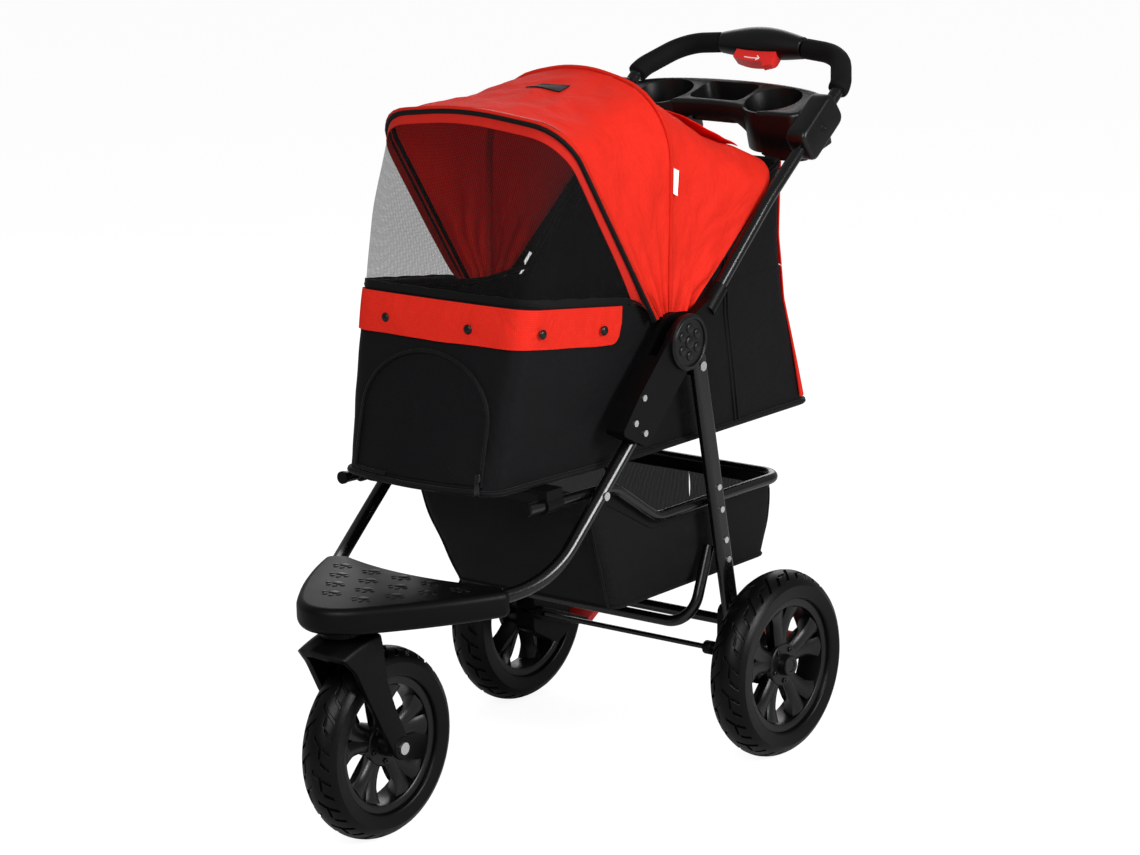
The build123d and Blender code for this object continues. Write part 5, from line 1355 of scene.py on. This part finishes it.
# %% Outlines for the tray
def tray_edge():
    """Outline of the tray in its own flat plane, in metres."""
    turn = [math.pi * k / 24 for k in range(25)]
    back = [Vector((0.171 * math.cos(a), 0.024 + 0.038 * math.sin(a))) for a in turn]
    turn = [math.pi * (1 - k / 16) for k in range(17)]
    waist = [Vector((0.099 * math.cos(a), -0.0495 + 0.0235 * math.sin(a))) for a in turn]
    left, right = ([Vector((side * 0.171, -0.040)), Vector((side * 0.160, -0.047))] for side in (1, -1))
    return stations(back + right + waist + left[::-1] + [back[0]], 160)


def slab(name, edge, top, depth):
    """A flat outline extruded downwards."""
    nothing_selected()
    bpy.ops.mesh.primitive_circle_add(vertices=len(edge), radius=1, fill_type="NGON")
    piece = named(name)
    for vertex, spot in zip(piece.data.vertices, edge):
        vertex.co = (spot.x, spot.y, top)
    edit_all(piece)
    bpy.ops.mesh.extrude_region_move(TRANSFORM_OT_translate={"value": (0, 0, -depth)})
    bpy.ops.object.mode_set(mode="OBJECT")
    outward(piece)
    return piece


def ring_of(x, y, radius, count=48):
    """A flat circle."""
    turn = [2 * math.pi * k / count for k in range(count)]
    return [Vector((x + radius * math.cos(a), y + radius * math.sin(a))) for a in turn]


def soft_box(x, low, high, radius):
    """A flat rectangle with round corners."""
    corners = ((0, low), (x, low), (x, high), (-x, high), (-x, low), (0, low))
    return stations(rounded(corners, (radius,) * 4), 48)[:-1]


# %% Tray
edge = tray_edge()[:-1]
# Each ring's way in from the outline and its depth; none stands for the lower edge of the wall.
TRAY_RINGS = ((0.0075, 0.0), (0.0035, 0.0006), (0.0012, 0.0022), (0.0, 0.0050), (0.0, None), (0.0030, None),
              (0.0030, 0.0040))
CUP_X = 0.099
TRAY_TILT = 15


def skirt(x):
    """Depth of the tray's outer wall: shallow over the middle, deep at the two ends."""
    share = min(max((abs(x) - 0.028) / 0.095, 0.0), 1.0)
    return 0.024 + 0.050 * share * share * (3 - 2 * share)


def tray_place(u, v):
    k = round(u * len(edge)) % len(edge)
    inset, drop = TRAY_RINGS[round(v * (len(TRAY_RINGS) - 1))]
    run = (edge[(k + 1) % len(edge)] - edge[k - 1]).normalized()
    spot = edge[k] + Vector((-run.y, run.x)) * inset
    return Vector((spot.x, spot.y, -skirt(edge[k].x) if drop is None else -drop))


tray = cloth_grid("cup_tray", len(edge), len(TRAY_RINGS) - 1, tray_place)
outward(tray)
edit_all(tray)
bpy.ops.mesh.fill_holes(sides=0)
bpy.ops.object.mode_set(mode="OBJECT")
outward(tray)
for operation, cup_r, bin_box, top, cup_deep, bin_deep in (
    ("UNION", 0.0470, (0.0515, -0.0195, 0.0505, 0.018), -0.002, 0.063, 0.033),
    ("DIFFERENCE", 0.0435, (0.0485, -0.0165, 0.0475, 0.015), 0.01, 0.072, 0.042),
):
    parts = [slab("cup", ring_of(x, 0, cup_r), top, cup_deep) for x in (CUP_X, -CUP_X)]
    for part in parts + [slab("bin", soft_box(*bin_box), top, bin_deep)]:
        apply(tray, "BOOLEAN", object=part, operation=operation, solver="EXACT")
        bpy.data.objects.remove(part)
soften(tray, 0.0022, sharper_than=60)
tray.rotation_euler = (math.radians(TRAY_TILT), 0, 0)
tray.location = (0, 0.399, 0.922)
dress(tray, "handle_frame", moulded_abs, "black_abs", 35)
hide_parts("tray")

# %% Tray clamps
# The clamps sit on the side tubes: their middle in the side view, and the tube's direction there.
CLAMP_Y, CLAMP_Z = 0.3812, 0.8908
RUN_Y, RUN_Z = 0.801, 0.598
CLAMP_SCREW = ((0.2000, 0.0), (0.2000, 0.0062), (0.2012, 0.0058), (0.2012, 0.0040), (0.2004, 0.0036),
               (0.2004, 0.0))
clamps = []
for side in (1, -1):
    plate = slab("clamp", soft_box(0.0270, -0.0480, 0.0480, 0.013), 0.2005, 0.0345)
    soften(plate, 0.0060, segments=4)
    for vertex in plate.data.vertices:
        across, up, out = vertex.co
        vertex.co = (side * out, CLAMP_Y + RUN_Y * up + RUN_Z * across, CLAMP_Z + RUN_Z * up - RUN_Y * across)
    outward(plate)
    clamps.append(plate)
    clamps.append(turning("clamp_screw", CLAMP_SCREW, (0.0, CLAMP_Y, CLAMP_Z), 24, side))
clamps = together("tray_clamp_plates", clamps)
dress(clamps, "handle_frame", moulded_abs, "black_abs", 40)
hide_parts("tray_clamps")

# %% [markdown]
# ## Hinge discs and footrest
# A round cover hides each fold pin. It carries a moulded rosette here. The footrest is a thick moulding with
# soft edges, so its outline is extruded and bevelled. Small raised paw prints keep a shoe from slipping;
# each is a pad and four toes, cut from flattened balls.


# %% Rosettes
def bead(place, size):
    """A flattened ball, as a small moulded relief."""
    nothing_selected()
    bpy.ops.mesh.primitive_uv_sphere_add(segments=16, ring_count=8, radius=1, location=place)
    piece = named("bead")
    piece.scale = size
    settle()
    return piece


COVER_FACE = 0.2052
for word, side in (("left", 1), ("right", -1)):
    face = side * COVER_FACE
    pieces = [bead((face, HINGE.y, HINGE.z), (0.0022, 0.0095, 0.0095))]
    for k in range(6):
        petal = round_axle(HINGE, face, 0.0195, math.radians(60 * k + 30))
        pieces.append(bead(petal, (0.0018, 0.0070, 0.0070)))
    ring = [Vector((face + side * 0.0002, p.x, p.y)) for p in ring_of(HINGE.y, HINGE.z, 0.0352, 64)]
    pieces.append(piping("rim_ring", ring, 0.0022, closed=True))
    rosette = together("hinge_rosette_" + word, pieces)
    dress(rosette, "chassis", moulded_abs, "black_abs", 60)


# %% Footrest
def bow(a, b, c, count):
    """A smooth line from a to c that passes b half way."""
    a, b, c = Vector(a), Vector(b), Vector(c)
    pull = 2 * b - (a + c) / 2
    shares = [k / count for k in range(count + 1)]
    return [a * (1 - t) ** 2 + pull * (2 * t * (1 - t)) + c * t * t for t in shares]


side_edge = bow((0.1674, -0.3121), (0.1190, -0.4060), (0.0560, -0.4950), 20)
nose_edge = bow((0.0560, -0.4950), (0.0, -0.5250), (-0.0560, -0.4950), 20)
rear_edge = bow((-0.1376, -0.2959), (0.0, -0.3180), (0.1376, -0.2959), 20)
plate_edge = side_edge + nose_edge[1:-1] + [Vector((-p.x, p.y)) for p in reversed(side_edge)] + rear_edge
footrest = slab("footrest_moulding", plate_edge, 0.3525, 0.0375)
soften(footrest, 0.0165, segments=6, sharper_than=60)
dress(footrest, "chassis", moulded_nylon, "black_nylon", 40)
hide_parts("footrest")

# %% Paw prints
PAW_STEP = 0.053
PAW_FACE = 0.3521
paws = []
for row, y in enumerate((-0.344, -0.381, -0.418, -0.455)):
    count = 5 - row
    for k in range(count):
        x = (k - (count - 1) / 2) * PAW_STEP
        paws.append(bead((x, y + 0.004, PAW_FACE), (0.0100, 0.0070, 0.0019)))
        for t in range(4):
            a = math.radians(200 + 140 * t / 3)
            toe = (x + 0.0140 * math.cos(a), y + 0.003 + 0.0130 * math.sin(a), PAW_FACE)
            paws.append(bead(toe, (0.0036, 0.0046, 0.0017)))
prints = together("paw_prints", paws)
dress(prints, "chassis", moulded_abs, "black_nylon", 60)

# %% [markdown]
# ## Brake pedals
# One rod turns both brake locks. Each pedal is a black arm on that rod with a red pad behind the wheel,
# where a foot finds it. Arm and pad are capsule outlines in the side view, extruded across.


# %% Pedals
def capsule(name, a, a_r, b, b_r, inner, outer):
    """A plate along X, with two round ends at places a and b of the side view."""
    a, b = Vector(a), Vector(b)
    lean = math.atan2(b.y - a.y, b.x - a.x)
    edge = []
    for spot, radius, start in ((a, a_r, lean + math.pi / 2), (b, b_r, lean - math.pi / 2)):
        for k in range(13):
            angle = start + math.pi * k / 12
            edge.append(spot + Vector((math.cos(angle), math.sin(angle))) * radius)
    piece = slab(name, edge, max(inner, outer), abs(outer - inner))
    for vertex in piece.data.vertices:
        vertex.co = vertex.co.zxy
    soften(piece, 0.0015)
    return piece


for word, side in (("left", 1), ("right", -1)):
    inner, outer = side * 0.1500, side * 0.1637
    arm = capsule("pedal_arm_" + word, (0.147, 0.158), 0.010, (0.255, 0.120), 0.0055, inner, outer)
    dress(arm, "brake", moulded_nylon, "black_nylon", 40)
    inner, outer = side * 0.1497, side * 0.1997
    pad = capsule("pedal_pad_" + word, (0.2545, 0.120), 0.0056, (0.300, 0.146), 0.0056, inner, outer)
    dress(pad, "brake", red_abs, "red_abs", 40)
    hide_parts("brake_pedal_" + word)

# %% [markdown]
# ## Zip pull
# The door's zip ends low on the left. Its slider is a small glossy black body with a tapered tab hanging from
# it.

# %% Door zip pull
pull_spot = tub_front(0.1114, 0.500, 0.009)
nothing_selected()
bpy.ops.mesh.primitive_cube_add(size=1)
slider = named("slider")
slider.scale = (0.0085, 0.0045, 0.0120)
slider.location = pull_spot
settle()
apply(slider, "BEVEL", width=0.0018, segments=2)
TAB_EDGE = ((-0.0030, 0.0), (0.0030, 0.0), (0.0048, -0.020), (0.0030, -0.025), (-0.0030, -0.025),
            (-0.0048, -0.020))
tab = slab("pull_tab", [Vector(p) for p in TAB_EDGE], 0.0, 0.0018)
apply(tab, "BEVEL", width=0.0006, segments=2)
for vertex in tab.data.vertices:
    vertex.co = Vector((vertex.co.x, -vertex.co.z - 0.0040, vertex.co.y)) + pull_spot
zip_pull = together("door_zip_pull", [slider, tab])
outward(zip_pull)
dress(zip_pull, "chassis", powder_coat, "black_nylon", 40)

# %% [markdown]
# ## Basket
# Under the tub hangs a basket of dense black net, sewn round a steel tube. It is a shell from a rounded
# floor to the tube, and it bellies out a little between them.

# %% Basket
# The tube in the side view, as places along the length and heights, and the height of the basket's floor.
TUBE_RUN = ((-0.272, 0.455), (-0.084, 0.4475), (0.014, 0.383), (0.320, 0.381), (0.5, 0.381))
BASKET_FOOT = 0.262


def basket_plan(v):
    """Stations round the basket at a share of its height."""
    half = 0.146 + 0.0105 * v
    front, rear = -0.062 - 0.084 * v, 0.306 + 0.006 * v
    points = ((0, rear), (half, rear), (half, front), (-half, front), (-half, rear), (0, rear))
    return stations(rounded(points, (0.022,) * 4), 160)


basket_rows = [basket_plan(k / 12) for k in range(13)]


def basket_place(u, v, out=0.0):
    spot = v * (len(basket_rows) - 1)
    low = min(int(spot), len(basket_rows) - 2)
    here = at(basket_rows[low], u).lerp(at(basket_rows[low + 1], u), spot - low)
    away = Vector((here.x, here.y - 0.10)).normalized()
    middle = math.sin(math.pi * v)
    belly = 0.005 * middle + 0.003 * ripple((u * 14.0, v * 3.0, 0), 1.0, 12.0) * middle + out
    z = BASKET_FOOT + v * (height_on(TUBE_RUN, here.y) - BASKET_FOOT)
    return Vector((here.x + away.x * belly, here.y + away.y * belly, z))


basket = cloth_grid("basket_net", 160, 24, basket_place, (1.5, 0.19))
outward(basket)
area = face_area(basket)
dress(basket, "basket_frame", basket_net, "black_mesh", 60)
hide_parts("basket")
cut_from(basket, (1.55, 0.21), area)
hem, area = tape("basket_hem", 160, lambda u, v: basket_place(u, 0.86 + 0.14 * v, 0.0015), 0.026, 1.5)
dress(hem, "basket_frame", black_tape, "black_cloth")
cut_from(hem, (1.55, 0.032), area)

# %% Basket seams and floor
seams = [piping("foot", [basket_place(k / 160, 0.01, 0.0008) for k in range(160)], 0.0022, closed=True)]
for corner in (0.105, 0.395, 0.605, 0.895):
    seams.append(piping("seam", [basket_place(corner, k / 20, 0.0008) for k in range(18)], 0.0020))
seams = together("basket_seams", seams)
dress(seams, "basket_frame", black_tape, "black_cloth")


def basket_floor(u, v):
    y = 0.305 + (-0.061 - 0.305) * v
    dip = 0.004 * math.sin(math.pi * u) * math.sin(math.pi * v)
    return Vector(((2 * u - 1) * reach_in(basket_rows[0], y, 0.14), y, 0.2622 - dip))


bottom = cloth_grid("basket_floor", 20, 28, basket_floor, (0.29, 0.37))
area = face_area(bottom)
apply(bottom, "SOLIDIFY", thickness=0.002, offset=0.0)
dress(bottom, "basket_frame", black_oxford, "black_cloth")
cut_from(bottom, (0.31, 0.39), area)

# %% The size of the dressed model
low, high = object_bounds()
print("visual box", tuple(round(v, 3) for v in low), tuple(round(v, 3) for v in high))
{"cad": [list(cad_low), list(cad_high)], "visual": [list(low), list(high)]}
